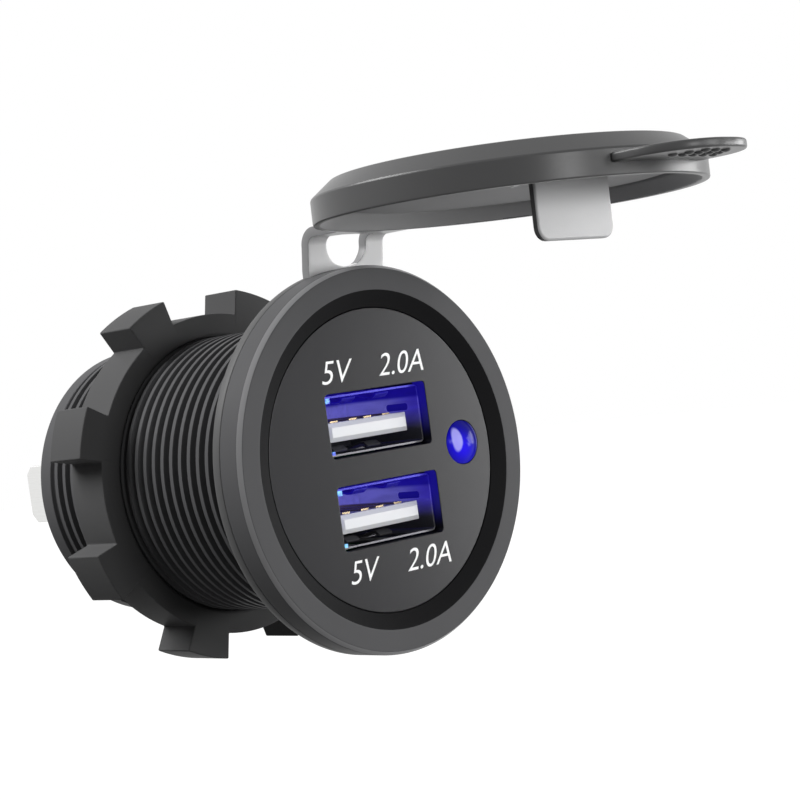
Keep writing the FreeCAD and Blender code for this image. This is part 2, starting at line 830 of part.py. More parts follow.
def make_cap_strap():
    """Two-legged strap from the sealing ring up and forward to the lid."""
    body = new_body("cap_strap")
    side = new_sketch(body, "YZ_Plane", -s.strap_width / 2)
    reach = lid_axis_depth + s.lid_radius / 2
    rear = 0.0
    lean = s.strap_lean
    polygon(side, [
        (flange_rear, strap_foot), (rear, strap_foot), (rear, s.flange_radius),
        (rear - lean, strap_top), (reach, strap_top), (reach, strap_underside),
        (flange_rear - lean, strap_underside), (flange_rear, s.flange_radius),
    ])
    pad(body, side, s.strap_width)
    x_axis = Vector(1, 0, 0)
    inner_corner = flange_rear - lean
    round_edges(body, s.strap_inner_bend, lambda edge: runs_along(edge, x_axis)
                and near(edge.BoundBox.YMax, inner_corner)
                and near(edge.BoundBox.ZMax, strap_underside), "Inner")
    outer_corner = rear - lean
    round_edges(body, s.strap_inner_bend + s.strap_thickness,
                lambda edge: runs_along(edge, x_axis)
                and near(edge.BoundBox.YMax, outer_corner)
                and near(edge.BoundBox.ZMax, strap_top), "Outer")
    ring_cut = new_sketch(body, "XZ_Plane")
    circle(ring_cut, s.flange_radius)
    pocket(body, ring_cut)
    lid_cut = new_sketch(body, "XY_Plane")
    circle(lid_cut, s.lid_radius + s.strap_clearance, 0.0, lid_axis_depth)
    pocket(body, lid_cut)
    gap = new_sketch(body, "XZ_Plane")
    foot, wide = s.strap_gap_foot_width / 2, s.strap_gap_width / 2
    gap_foot = s.flange_radius + s.strap_gap_foot_rise
    gap_shoulder = s.flange_radius + s.strap_gap_shoulder_rise
    above = strap_top + s.strap_thickness
    polygon(gap, [
        (-foot, gap_foot), (foot, gap_foot), (wide, gap_shoulder),
        (wide, above), (-wide, above), (-wide, gap_shoulder),
    ])
    pocket(body, gap)
    turn_cap(body)


def make_cap_lid():
    """Round lid with its rim, thumb tab and the plug that enters the lower port."""
    body = new_body("cap_lid")
    section = new_sketch(body, "XZ_Plane")
    polygon(section, [
        (0.0, s.lid_recess), (s.lid_recess_radius, s.lid_recess),
        (s.lid_radius - s.lid_rim_land, 0.0), (s.lid_radius, 0.0),
        (s.lid_radius, s.lid_wall_height), (s.lid_top_radius, s.lid_height),
        (0.0, s.lid_height),
    ])
    revolve(body, section)
    tab = new_sketch(body, "XY_Plane", s.tab_height)
    root, tip = s.tab_root_width / 2, s.tab_tip_width / 2
    inner = -(s.lid_recess_radius + s.lid_radius) / 2
    outer = -(s.lid_radius + s.tab_reach)
    polygon(tab, [(-root, inner), (root, inner), (tip, outer), (-tip, outer)])
    pad(body, tab, s.tab_thickness)
    z_axis = Vector(0, 0, 1)
    round_edges(body, s.tab_corner, lambda edge: runs_along(edge, z_axis)
                and near(edge.BoundBox.YMin, outer), "TabCorners")
    plug_front = plug_place()
    plug = new_sketch(body, "XZ_Plane", plug_front)
    half = s.lid_plug_width / 2
    polygon(plug, [(-half, s.lid_recess), (-half, -s.lid_plug_length),
                   (half, -s.lid_plug_length), (half, s.lid_recess)])
    pad(body, plug, s.lid_plug_thickness, backwards=True)
    y_axis = Vector(0, 1, 0)
    tip_level = -s.lid_plug_length
    round_edges(body, s.lid_plug_corner, lambda edge: runs_along(edge, y_axis)
                and near(edge.BoundBox.ZMin, tip_level), "PlugCorners")
    lead = new_sketch(body, "YZ_Plane")
    outer_face, inner_face = -plug_front, -plug_front + s.lid_plug_lead_depth
    beyond = s.lid_plug_lead_in
    polygon(lead, [
        (outer_face, tip_level + beyond), (inner_face, tip_level),
        (inner_face, tip_level - beyond), (outer_face - beyond, tip_level - beyond),
        (outer_face - beyond, tip_level + beyond),
    ])
    pocket(body, lead)
    turn_cap(body, lid_axis_depth, lid_rim_height)


def plug_place():
    """Return how far from the lid's axis the plug's outer face stands.

    Shut, the plug enters the lower port under its tongue.
    """
    tongue_underside = s.lower_port_height - s.tongue_drop - s.tongue_thickness / 2
    return -(tongue_underside - s.lid_plug_gap - s.lid_plug_thickness)


SUB_PARTS = (
    "housing", "face_plate", "ring_nut", "upper_shell", "upper_tongue",
    "upper_contacts", "lower_shell", "lower_tongue", "lower_contacts", "lamp",
    "lamp_leads", "front_board", "power_board", "board_pins", "input_capacitor",
    "output_capacitor", "inductor", "converter_chip", "output_diode", "rear_cover",
    "positive_blade", "negative_blade", "cap_ring", "cap_strap", "cap_lid",
)


def build():
    """Model every sub-part in the document."""
    make_housing()
    make_face_plate()
    make_ring_nut()
    make_port("upper", s.upper_port_height)
    make_port("lower", s.lower_port_height)
    make_lamp()
    make_front_board()
    make_power_board()
    make_header()
    make_capacitor("input_capacitor", -s.capacitor_place, s.input_capacitor_depth)
    make_capacitor("output_capacitor", s.capacitor_place, s.output_capacitor_depth)
    make_inductor()
    make_chip()
    make_diode()
    make_rear_cover()
    make_blade("positive_blade", 1)
    make_blade("negative_blade", -1)
    make_cap_ring()
    make_cap_strap()
    make_cap_lid()
    doc.recompute()


def check():
    """Stop if any feature failed or any sub-part isn't a valid solid."""
    for item in doc.Objects:
        if "Invalid" in item.State or "Error" in item.State:
            raise RuntimeError(f"{item.Label} failed: {item.State}")
    for label in SUB_PARTS:
        shape = doc.getObjectsByLabel(label)[0].Shape
        if shape.isNull() or not shape.isValid() or not shape.Solids:
            raise RuntimeError(f"{label} has no valid solid")


def export():
    """Write each sub-part to its own STEP file."""
    os.makedirs("parts", exist_ok=True)
    for label in SUB_PARTS:
        shape = doc.getObjectsByLabel(label)[0].Shape
        shape.exportStep(f"parts/{label}.step")
        print(f"{label}: {len(shape.Solids)} solids, {shape.Volume:.1f} mm3")


build()
check()
export()
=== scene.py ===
"""Looks for a panel power socket: charge ports, ring nut and hinged soft lid.

Lengths in the classes are millimetres. Every piece stands in the solids' own
frame: +Y along the barrel away from the user, +Z up, +X to the right.
"""

import logging
import math
from contextlib import contextmanager
from dataclasses import dataclass
from enum import Enum
from typing import Callable, Iterator, Sequence

import bmesh
import bpy
from mathutils import Matrix, Vector

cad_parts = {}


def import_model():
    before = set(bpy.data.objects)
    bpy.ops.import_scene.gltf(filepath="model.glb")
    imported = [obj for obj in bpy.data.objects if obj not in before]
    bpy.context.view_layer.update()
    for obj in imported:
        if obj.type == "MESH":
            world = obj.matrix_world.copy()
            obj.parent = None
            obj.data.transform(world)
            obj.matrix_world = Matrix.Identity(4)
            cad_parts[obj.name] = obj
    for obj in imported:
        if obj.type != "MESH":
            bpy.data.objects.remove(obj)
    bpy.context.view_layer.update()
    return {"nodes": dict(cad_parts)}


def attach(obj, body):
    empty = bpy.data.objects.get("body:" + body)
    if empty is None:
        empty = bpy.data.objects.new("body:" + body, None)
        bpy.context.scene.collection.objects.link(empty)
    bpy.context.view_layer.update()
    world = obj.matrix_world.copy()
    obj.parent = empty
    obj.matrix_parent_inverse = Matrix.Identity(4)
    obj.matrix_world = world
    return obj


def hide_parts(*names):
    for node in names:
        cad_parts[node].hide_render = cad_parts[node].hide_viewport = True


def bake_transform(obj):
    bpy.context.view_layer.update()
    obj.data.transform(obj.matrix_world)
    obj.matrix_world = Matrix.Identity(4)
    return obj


LOG = logging.getLogger("power_socket")
MM = 0.001
PORT_LEVELS = (3.9, -4.94)
QUARTER = math.pi / 2

Piece = bpy.types.Object
Node = bpy.types.Node
Socket = bpy.types.NodeSocket
Pair = tuple[float, float]
Point = tuple[float, float, float]
Colour = tuple[float, float, float]
Test = Callable[[Vector, Vector], bool]


class Pick(Enum):
    """What an edit-mode selection holds."""

    POINTS = "VERT"
    EDGES = "EDGE"
    FACES = "FACE"


class Mix(Enum):
    """What a Boolean does with the other mesh."""

    CUT = "DIFFERENCE"
    JOIN = "UNION"


class Body(Enum):
    """The moving bodies that pieces ride on."""

    SOCKET = "socket"
    NUT = "nut"
    LID = "lid"


class Slot(Enum):
    """The record's material slots, passed along with each new piece but not read."""

    BODY = "body_plastic"
    FACE = "face_plastic"
    NUT = "nut_plastic"
    METAL = "port_metal"
    TONGUE = "port_plastic"
    LENS = "lamp_lens"
    BLADE = "blade_metal"
    CAP = "cap_rubber"


class Axis(Enum):
    """A row axis, as the three numbers of its direction."""

    X = (1.0, 0.0, 0.0)
    Y = (0.0, 1.0, 0.0)
    Z = (0.0, 0.0, 1.0)


# Modelling, as by hand.


def metres(point: Sequence[float]) -> Vector:
    """Return a point given in millimetres as a vector in metres."""
    return Vector(point) * MM


def clear_selection() -> None:
    """Leave edit mode and deselect every object."""
    if bpy.context.object and bpy.context.object.mode != "OBJECT":
        bpy.ops.object.mode_set(mode="OBJECT")
    bpy.ops.object.select_all(action="DESELECT")


def activate(piece: Piece) -> None:
    """Make one piece the only selected and the active object.

    Args:
        piece: the object.
    """
    clear_selection()
    piece.select_set(True)
    bpy.context.view_layer.objects.active = piece


@contextmanager
def editing(piece: Piece) -> Iterator[None]:
    """Open one piece in edit mode with nothing selected, and close it after.

    Args:
        piece: the mesh object to edit.
    """
    activate(piece)
    bpy.ops.object.mode_set(mode="EDIT")
    bpy.ops.mesh.select_mode(type="VERT")
    bpy.ops.mesh.select_all(action="DESELECT")
    yield
    bpy.ops.object.mode_set(mode="OBJECT")


def select_all() -> None:
    """Select everything in edit mode."""
    bpy.ops.mesh.select_all(action="SELECT")


def face_outwards() -> None:
    """Turn all faces of the mesh in edit mode outwards."""
    select_all()
    bpy.ops.mesh.normals_make_consistent(inside=False)


def extrude(step: Vector) -> None:
    """Extrude the selection in edit mode by a step in metres."""
    bpy.ops.mesh.extrude_region_move(TRANSFORM_OT_translate={"value": step})


def bevel(width: float, segments: int) -> None:
    """Bevel the selected edges in edit mode by a width in millimetres."""
    bpy.ops.mesh.bevel(offset=width * MM, segments=segments, affect="EDGES")


def pick(kind: Pick, test: Test) -> None:
    """Select the elements of the mesh in edit mode that a test accepts.

    Args:
        kind: points, edges or faces.
        test: takes an element's middle in millimetres and its normal, or an
            edge's direction.
    """
    bpy.ops.mesh.select_mode(type=kind.value)
    bpy.ops.mesh.select_all(action="DESELECT")
    data = bpy.context.object.data
    mesh = bmesh.from_edit_mesh(data)
    mesh.normal_update()
    groups = {Pick.POINTS: mesh.verts, Pick.EDGES: mesh.edges, Pick.FACES: mesh.faces}
    for item in groups[kind]:
        if kind is Pick.POINTS:
            middle, line = item.co, item.normal
        elif kind is Pick.EDGES:
            start, end = (point.co for point in item.verts)
            middle, line = (start + end) / 2, (end - start).normalized()
        else:
            middle, line = item.calc_center_median(), item.normal
        if test(middle / MM, line):
            item.select_set(True)
    mesh.select_flush_mode()
    bmesh.update_edit_mesh(data)


def move_points(rule: Callable[[Vector], Vector]) -> None:
    """Move every point of the mesh in edit mode.

    Args:
        rule: takes a place in metres and returns the new one.
    """
    data = bpy.context.object.data
    mesh = bmesh.from_edit_mesh(data)
    for point in mesh.verts:
        point.co = rule(point.co)
    bmesh.update_edit_mesh(data)


def settle(piece: Piece) -> Piece:
    """Put a piece's place, turn and scale into its mesh.

    Args:
        piece: the mesh object.

    Returns:
        The piece.
    """
    activate(piece)
    bpy.ops.object.transform_apply(location=True, rotation=True, scale=True)
    return piece


def named(name: str) -> Piece:
    """Name the object that an operator has just added.

    Args:
        name: its name.

    Returns:
        The object.
    """
    piece = bpy.context.object
    piece.name = piece.data.name = name
    return piece


def chain(name: str, points: Sequence[Point], closed: bool = False) -> Piece:
    """Draw a line of edges by extruding one point from place to place.

    Args:
        name: the new object's name.
        points: the places in millimetres.
        closed: join the last point to the first.

    Returns:
        The mesh object.
    """
    clear_selection()
    bpy.ops.mesh.primitive_plane_add(size=MM, location=metres(points[0]))
    piece = settle(named(name))
    with editing(piece):
        select_all()
        bpy.ops.mesh.merge(type="CENTER")
        for start, end in zip(points, points[1:]):
            extrude(metres(end) - metres(start))
        if closed:
            ends = [Vector(points[0]), Vector(points[-1])]
            pick(Pick.POINTS, lambda at, _: min((at - end).length for end in ends) < 1e-3)
            bpy.ops.mesh.edge_face_add()
    return piece


def spin(name: str, profile: Sequence[Pair], axis: Axis = Axis.Y,
         centre: Point = (0.0, 0.0, 0.0), steps: int = 192, closed: bool = True) -> Piece:
    """Turn a profile of (radius, place along the axis) pairs into a round solid.

    Args:
        name: the new object's name.
        profile: pairs in millimetres, the radius along +X.
        axis: the axis to turn about, Y or Z.
        centre: a point on the axis.
        steps: how many faces go round.
        closed: the profile is a closed loop, and doesn't start and end on the axis.

    Returns:
        The mesh object with its faces outwards.
    """
    along = Vector(axis.value)
    points = [tuple(Vector(centre) + Vector((radius, 0, 0)) + along * place)
              for radius, place in profile]
    piece = chain(name, points, closed)
    with editing(piece):
        select_all()
        bpy.ops.mesh.spin(steps=steps, angle=math.tau, center=metres(centre), axis=along)
        select_all()
        bpy.ops.mesh.remove_doubles(threshold=0.002 * MM)
        face_outwards()
    return piece


def cut_sheet(name: str, outline: Sequence[Point], thickness: Point) -> Piece:
    """Fill a closed outline and extrude it into a plate.

    Args:
        name: the new object's name.
        outline: corners in millimetres.
        thickness: the extrusion as a vector in millimetres.

    Returns:
        The mesh object.
    """
    piece = chain(name, outline, closed=True)
    with editing(piece):
        select_all()
        bpy.ops.mesh.edge_face_add()
        select_all()
        extrude(metres(thickness))
        face_outwards()
    return piece


def block(name: str, low: Point, high: Point, corner: float = 0.0,
          axis: Axis = Axis.Y, segments: int = 6) -> Piece:
    """Add a block between two corners, with its edges along one axis rounded.

    Args:
        name: the new object's name.
        low: the lowest corner in millimetres.
        high: the highest corner in millimetres.
        corner: the radius of the rounded edges, or nothing.
        axis: the direction of the edges that are rounded.
        segments: faces in each rounding.

    Returns:
        The mesh object.
    """
    clear_selection()
    low_corner, high_corner = metres(low), metres(high)
    bpy.ops.mesh.primitive_cube_add(size=1, location=(low_corner + high_corner) / 2,
                                    scale=high_corner - low_corner)
    piece = settle(named(name))
    if corner > 0:
        along = Vector(axis.value)
        with editing(piece):
            pick(Pick.EDGES, lambda _, line: abs(line.dot(along)) > 0.99)
            bevel(corner, segments)
    return piece


def drum(name: str, centre: Point, radius: float, depth: float, steps: int = 64,
         axis: Axis = Axis.Y) -> Piece:
    """Add a cylinder about a centre.

    Args:
        name: the new object's name.
        centre: its middle in millimetres.
        radius: its radius.
        depth: its length along the axis.
        steps: how many faces go round.
        axis: its axis, X or Y.

    Returns:
        The mesh object.
    """
    clear_selection()
    turn = (QUARTER, 0, 0) if axis is Axis.Y else (0, QUARTER, 0)
    bpy.ops.mesh.primitive_cylinder_add(vertices=steps, radius=radius * MM,
                                        depth=depth * MM, location=metres(centre),
                                        rotation=turn)
    return settle(named(name))


def shape(piece: Piece, kind: str, **settings: object) -> None:
    """Add a modifier with its settings to a piece and apply it.

    Args:
        piece: the mesh object.
        kind: the modifier's type.
        settings: its properties by name.
    """
    activate(piece)
    modifier = piece.modifiers.new(kind.title(), kind)
    for key, value in settings.items():
        setattr(modifier, key, value)
    bpy.ops.object.modifier_apply(modifier=modifier.name)


def soften(piece: Piece, width: float, segments: int = 3, angle: float = 30.0) -> Piece:
    """Round every edge that is sharper than an angle.

    Args:
        piece: the mesh object.
        width: the rounding's width in millimetres.
        segments: faces in each rounding.
        angle: the angle in degrees.

    Returns:
        The piece.
    """
    shape(piece, "BEVEL", width=width * MM, segments=segments, limit_method="ANGLE",
          angle_limit=math.radians(angle), use_clamp_overlap=True)
    return piece


def combine(how: Mix, piece: Piece, *others: Piece) -> Piece:
    """Cut other meshes out of a piece, or join them to it, and delete them.

    Args:
        how: cut or join.
        piece: the mesh object that stays.
        others: the other mesh objects.

    Returns:
        The piece.
    """
    for other in others:
        shape(piece, "BOOLEAN", object=other, operation=how.value, solver="EXACT")
        bpy.data.objects.remove(other, do_unlink=True)
    return piece


def gather(name: str, pieces: Sequence[Piece]) -> Piece:
    """Join pieces into one object without merging their surfaces.

    Args:
        name: the joined object's name.
        pieces: the mesh objects, the first of which stays.

    Returns:
        The joined object.
    """
    activate(pieces[0])
    for piece in pieces:
        piece.select_set(True)
    bpy.ops.object.join()
    return named(name)


def smooth(piece: Piece, angle: float = 32.0) -> Piece:
    """Shade a piece smooth across edges that are flatter than an angle.

    Args:
        piece: the mesh object.
        angle: the angle in degrees.

    Returns:
        The piece.
    """
    activate(piece)
    bpy.ops.object.shade_smooth_by_angle(angle=math.radians(angle))
    shape(piece, "WEIGHTED_NORMAL", keep_sharp=True)
    return piece


# Finishes.


class Board:
    """A node tree with short calls to add, set and join its nodes."""

    def __init__(self, tree: bpy.types.NodeTree) -> None:
        """Keep the tree, emptied."""
        self.tree = tree
        tree.nodes.clear()

    def fill(self, node: Node, values: dict[object, object]) -> None:
        """Join sockets to a node's inputs, or set them to numbers and colours.

        Args:
            node: the node.
            values: sockets, numbers or tuples by the input's name or number.
        """
        for key, value in values.items():
            target = node.inputs[key]
            if isinstance(value, bpy.types.NodeSocket):
                self.tree.links.new(value, target)
            elif isinstance(value, tuple) and target.type == "RGBA":
                target.default_value = (*value, 1.0)
            else:
                target.default_value = value

    def add(self, kind: str, values: dict[object, object] | None = None,
            **settings: object) -> Node:
        """Add a node.

        Args:
            kind: the node's type.
            values: what its inputs are joined or set to.
            settings: the node's properties by name.

        Returns:
            The node.
        """
        node = self.tree.nodes.new(kind)
        for key, value in settings.items():
            setattr(node, key, value)
        self.fill(node, values or {})
        return node

    def maths(self, operation: str, first: object, second: object = 0.0,
              clamp: bool = False) -> Socket:
        """Return the result of a Math node on sockets or numbers."""
        return self.add("ShaderNodeMath", {0: first, 1: second}, operation=operation,
                        use_clamp=clamp).outputs[0]

    def ramp(self, value: Socket, low: float, high: float) -> Socket:
        """Return a value mapped smoothly from low..high to 0..1."""
        return self.add("ShaderNodeMapRange",
                        {"Value": value, "From Min": low, "From Max": high},
                        interpolation_type="SMOOTHSTEP").outputs["Result"]

    def blend(self, mask: object, first: object, second: object) -> Socket:
        """Return two colours or colour sockets mixed by a mask."""
        return self.add("ShaderNodeMix", {0: mask, 6: first, 7: second},
                        data_type="RGBA").outputs[2]

    def place(self) -> Socket:
        """Return the piece's own coordinates."""
        return self.add("ShaderNodeTexCoord").outputs["Object"]

    def axes(self, place: Socket) -> bpy.types.NodeOutputs:
        """Return the three numbers of a place."""
        return self.add("ShaderNodeSeparateXYZ", {0: place}).outputs

    def off(self, centre: Sequence[float]) -> Socket:
        """Return the piece's own coordinates from a centre in metres."""
        return self.add("ShaderNodeMapping",
                        {"Vector": self.place(), "Location": tuple(-Vector(centre))},
                        vector_type="POINT").outputs[0]

    def length(self, place: Socket) -> Socket:
        """Return how far a place is from its zero."""
        return self.add("ShaderNodeVectorMath", {0: place},
                        operation="LENGTH").outputs["Value"]

    def bump(self, height: Socket, strength: float, depth: float) -> Socket:
        """Return the normal of a bumpy surface, its depth in millimetres."""
        return self.add("ShaderNodeBump", {"Height": height, "Strength": strength,
                                           "Distance": depth * MM}).outputs[0]

    def seen(self) -> Socket:
        """Return 1 for camera, glossy and transmission rays, and 0 for others."""
        path = self.add("ShaderNodeLightPath").outputs
        rays = self.maths("ADD", path["Is Camera Ray"], path["Is Glossy Ray"])
        return self.maths("ADD", rays, path["Is Transmission Ray"], clamp=True)


FLOAT, COLOUR = "NodeSocketFloat", "NodeSocketColor"


def new_group(name: str, inputs: dict[str, str],
              outputs: dict[str, str]) -> tuple[Board, bpy.types.NodeOutputs, Node]:
    """Start a shader node group with named sockets.

    Args:
        name: the group's name.
        inputs: socket types by socket name.
        outputs: socket types by socket name.

    Returns:
        The group's board, its input node's sockets and its output node.
    """
    board = Board(bpy.data.node_groups.new(name, "ShaderNodeTree"))
    for side, sockets in (("INPUT", inputs), ("OUTPUT", outputs)):
        for label, kind in sockets.items():
            board.tree.interface.new_socket(label, in_out=side, socket_type=kind)
    return board, board.add("NodeGroupInput").outputs, board.add("NodeGroupOutput")


def moulded_skin() -> bpy.types.NodeTree:
    """Build the shared skin of moulded pieces once: mottling, grain and rub marks.

    Returns:
        The node group with Colour, Roughness and Height outputs.
    """
    found = bpy.data.node_groups.get("moulded_skin")
    if found:
        return found
    board, given, out = new_group(
        "moulded_skin",
        {"Colour": COLOUR, "Mottle": FLOAT, "Grain Scale": FLOAT, "Roughness": FLOAT,
         "Rub": FLOAT},
        {"Colour": COLOUR, "Roughness": FLOAT, "Height": FLOAT})
    place = board.place()
    cloud = board.add("ShaderNodeTexNoise",
                      {"Vector": place, "Scale": 160.0, "Detail": 3.0}).outputs["Fac"]
    grain = board.add("ShaderNodeTexNoise",
                      {"Vector": place, "Scale": given["Grain Scale"], "Detail": 2.0,
                       "Roughness": 0.6}).outputs["Fac"]
    pit_scale = board.maths("MULTIPLY", given["Grain Scale"], 1.7)
    pits = board.add("ShaderNodeTexVoronoi", {"Vector": place, "Scale": pit_scale},
                     feature="F1").outputs["Distance"]
    drift = board.maths("MULTIPLY", board.maths("SUBTRACT", cloud, 0.5), given["Mottle"])
    tint = board.add("ShaderNodeVectorMath",
                     {0: given["Colour"], "Scale": board.maths("ADD", drift, 1.0)},
                     operation="SCALE")
    rub = board.maths("MULTIPLY", board.maths("SUBTRACT", grain, 0.5), given["Rub"])
    board.fill(out, {
        "Colour": tint.outputs[0],
        "Roughness": board.maths("ADD", given["Roughness"], rub),
        "Height": board.maths("ADD", grain, board.maths("MULTIPLY", pits, 0.6)),
    })
    return board.tree


def drawn_lines() -> bpy.types.NodeTree:
    """Build the shared streaks of rolled or drawn metal once.

    Returns:
        The node group with Mask and Height outputs.
    """
    found = bpy.data.node_groups.get("drawn_lines")
    if found:
        return found
    board, given, out = new_group("drawn_lines", {"Scale": FLOAT, "Stretch": FLOAT},
                                  {"Mask": FLOAT, "Height": FLOAT})
    x, y, z = board.axes(board.place())
    long = board.add("ShaderNodeCombineXYZ",
                     {"X": x, "Y": board.maths("DIVIDE", y, given["Stretch"]), "Z": z})
    noise = board.add("ShaderNodeTexNoise",
                      {"Vector": long.outputs[0], "Scale": given["Scale"],
                       "Detail": 4.0, "Roughness": 0.6}).outputs["Fac"]
    board.fill(out, {"Mask": board.ramp(noise, 0.35, 0.7), "Height": noise})
    return board.tree


def new_material(name: str) -> tuple[bpy.types.Material, Board, Node]:
    """Start a material with one Principled shader.

    Args:
        name: the material's name.

    Returns:
        The material, its board and the shader node.
    """
    material = bpy.data.materials.new(name)
    material.use_nodes = True
    board = Board(material.node_tree)
    shader = board.add("ShaderNodeBsdfPrincipled")
    board.add("ShaderNodeOutputMaterial", {"Surface": shader.outputs[0]})
    return material, board, shader


@dataclass(frozen=True)
class Finish:
    """A finish by name, whose material is built when a piece first asks for it."""

    name: str

    def material(self) -> bpy.types.Material:
        """Find the finish's material, or build and paint it on first use.

        Returns:
            The material.
        """
        material = bpy.data.materials.get(self.name)
        if not material:
            material, board, shader = new_material(self.name)
            self.paint(board, shader)
        return material

    def paint(self, board: Board, shader: Node) -> None:
        """Set up the shader, which each kind of finish does in its own way.

        Args:
            board: the material's board.
            shader: its Principled shader.
        """
        raise NotImplementedError


@dataclass(frozen=True)
class Moulding(Finish):
    """A moulded plastic or rubber finish."""

    colour: Colour
    roughness: float = 0.42
    mottle: float = 0.12
    grain: float = 0.12
    grain_size: float = 0.22
    grain_depth: float = 0.03
    rub: float = 0.06
    gloss: float = 0.5
    ior: float = 1.5

    def paint(self, board: Board, shader: Node) -> None:
        """Lay the moulded skin on the shader.

        Args:
            board: the material's board.
            shader: its Principled shader.
        """
        skin = board.add("ShaderNodeGroup", {
            "Colour": self.colour, "Mottle": self.mottle,
            "Grain Scale": 1.0 / (self.grain_size * MM),
            "Roughness": self.roughness, "Rub": self.rub,
        }, node_tree=moulded_skin())
        normal = board.bump(skin.outputs["Height"], self.grain, self.grain_depth)
        board.fill(shader, {
            "Base Color": skin.outputs["Colour"], "Roughness": skin.outputs["Roughness"],
            "Normal": normal, "Specular IOR Level": self.gloss, "IOR": self.ior,
        })


@dataclass(frozen=True)
class Metal(Finish):
    """A plated or bare metal finish with faint drawn lines."""

    colour: Colour
    dull_colour: Colour
    roughness: float = 0.28
    spread: float = 0.12
    stretch: float = 14.0
    line_size: float = 0.25

    def paint(self, board: Board, shader: Node) -> None:
        """Draw the lines on the shader.

        Args:
            board: the material's board.
            shader: its Principled shader.
        """
        lines = board.add("ShaderNodeGroup", {"Scale": 1.0 / (self.line_size * MM),
                                              "Stretch": self.stretch},
                          node_tree=drawn_lines())
        mask = lines.outputs["Mask"]
        spread = board.maths("MULTIPLY", mask, self.spread)
        board.fill(shader, {
            "Base Color": board.blend(mask, self.colour, self.dull_colour),
            "Roughness": board.maths("ADD", spread, self.roughness),
            "Normal": board.bump(lines.outputs["Height"], 0.08, 0.02), "Metallic": 1.0,
        })


@dataclass(frozen=True)
class PaintedLightPort(Finish):
    """Plated sheet inside a port, with painted blue light towards its top and two painted
    glints.
    """

    level: float
    half_width: float = 6.6
    mouth: float = -2.1
    strength: float = 0.55
    lit_band: Pair = (-1.6, 0.6)
    top_band: Pair = (1.45, 1.85)
    deep_band: Pair = (-2.2, 3.5)
    streaks: Pair = (1500.0, 6.0)
    streak_depth: float = 0.35
    bare_sheet: Colour = (0.10, 0.10, 0.11)
    lit_sheet: Colour = (0.12, 0.11, 0.42)
    top_sheet: Colour = (0.012, 0.010, 0.20)
    front_glow: Colour = (0.030, 0.015, 0.42)
    deep_glow: Colour = (0.15, 0.14, 0.52)
    top_glow: Colour = (0.012, 0.005, 0.34)
    spot_glow: Colour = (0.25, 0.85, 1.6)

    def paint(self, board: Board, shader: Node) -> None:
        """Mix grey sheet, painted blue light, the painted dark blue top and two painted
        glints.

        Args:
            board: the material's board.
            shader: its Principled shader.
        """
        _, y, z = board.axes(board.place())
        height = board.maths("SUBTRACT", z, self.level * MM)
        # Painted light: the sheet is lit blue above its middle, with a darker blue band
        # painted at its top.
        lit, top = (board.ramp(height, low * MM, high * MM)
                    for low, high in (self.lit_band, self.top_band))
        depth = board.ramp(y, *(edge * MM for edge in self.deep_band))
        scale, stretch = self.streaks
        lines = board.add("ShaderNodeGroup", {"Scale": scale, "Stretch": stretch},
                          node_tree=drawn_lines())
        streaks = board.maths("MULTIPLY", lines.outputs["Mask"], self.streak_depth)
        patch = board.maths("SUBTRACT", 1.0, streaks)
        metal = board.blend(lit, self.bare_sheet, self.lit_sheet)
        glow = board.blend(depth, self.front_glow, self.deep_glow)
        glow = board.blend(top, glow, self.top_glow)
        glow = board.blend(board.maths("MULTIPLY", lit, patch), (0.0, 0.0, 0.0), glow)
        # Painted glints at two corners of the mouth.
        spots = board.maths("ADD", self.spot(board, 2.35, 0.55),
                            self.spot(board, -2.55, 0.3), clamp=True)
        board.fill(shader, {
            "Base Color": board.blend(top, metal, self.top_sheet),
            "Emission Color": board.blend(spots, glow, self.spot_glow),
            "Emission Strength": self.strength, "Metallic": 0.5, "Roughness": 0.32,
        })

    def spot(self, board: Board, rise: float, size: float) -> Socket:
        """Mask a painted glint at a corner of the mouth.

        Args:
            board: the material's board.
            rise: the corner's height over the port's middle.
            size: the glint's radius.

        Returns:
            The mask.
        """
        corner = metres((-self.half_width + 0.25, self.mouth, self.level + rise))
        return board.ramp(board.length(board.off(corner)), size * MM, 0.4 * size * MM)


@dataclass(frozen=True)
class LitGap(Finish):
    """Painted deep blue light in the slits round the ports, fading to black downwards."""

    levels: Pair
    fall: float = 2.6
    full: float = 1.6
    top: Pair = (3.4, 4.0)
    glow: Colour = (0.006, 0.003, 0.20)

    def paint(self, board: Board, shader: Node) -> None:
        """Paint the lit band at each port.

        Args:
            board: the material's board.
            shader: its Principled shader.
        """
        masks = []
        z = board.axes(board.place())["Z"]
        for level in self.levels:
            height = board.maths("SUBTRACT", z, level * MM)
            rising = board.ramp(height, -self.fall * MM, self.full * MM)
            falling = board.ramp(height, self.top[1] * MM, self.top[0] * MM)
            masks.append(board.maths("MULTIPLY", rising, falling))
        glow = board.blend(board.maths("ADD", *masks, clamp=True), (0.0, 0.0, 0.0),
                           self.glow)
        board.fill(shader, {
            "Emission Color": glow, "Emission Strength": 1.0,
            "Base Color": (0.006, 0.006, 0.01), "Roughness": 0.4,
            "Specular IOR Level": 0.2,
        })


@dataclass(frozen=True)
class Glint(Finish):
    """A bright painted glint, glowing on a small bead."""

    colour: Colour

    def paint(self, board: Board, shader: Node) -> None:
        """Paint the glint's glow in bright and deep blue patches.

        Args:
            board: the material's board.
            shader: its Principled shader.
        """
        noise = board.add("ShaderNodeTexNoise", {"Vector": board.place(), "Scale": 2500.0})
        patch = board.ramp(noise.outputs["Fac"], 0.35, 0.65)
        board.fill(shader, {
            "Emission Color": board.blend(patch, (0.02, 0.05, 0.6), self.colour),
            "Emission Strength": 0.9, "Base Color": (0.02, 0.04, 0.3), "Roughness": 0.3,
        })


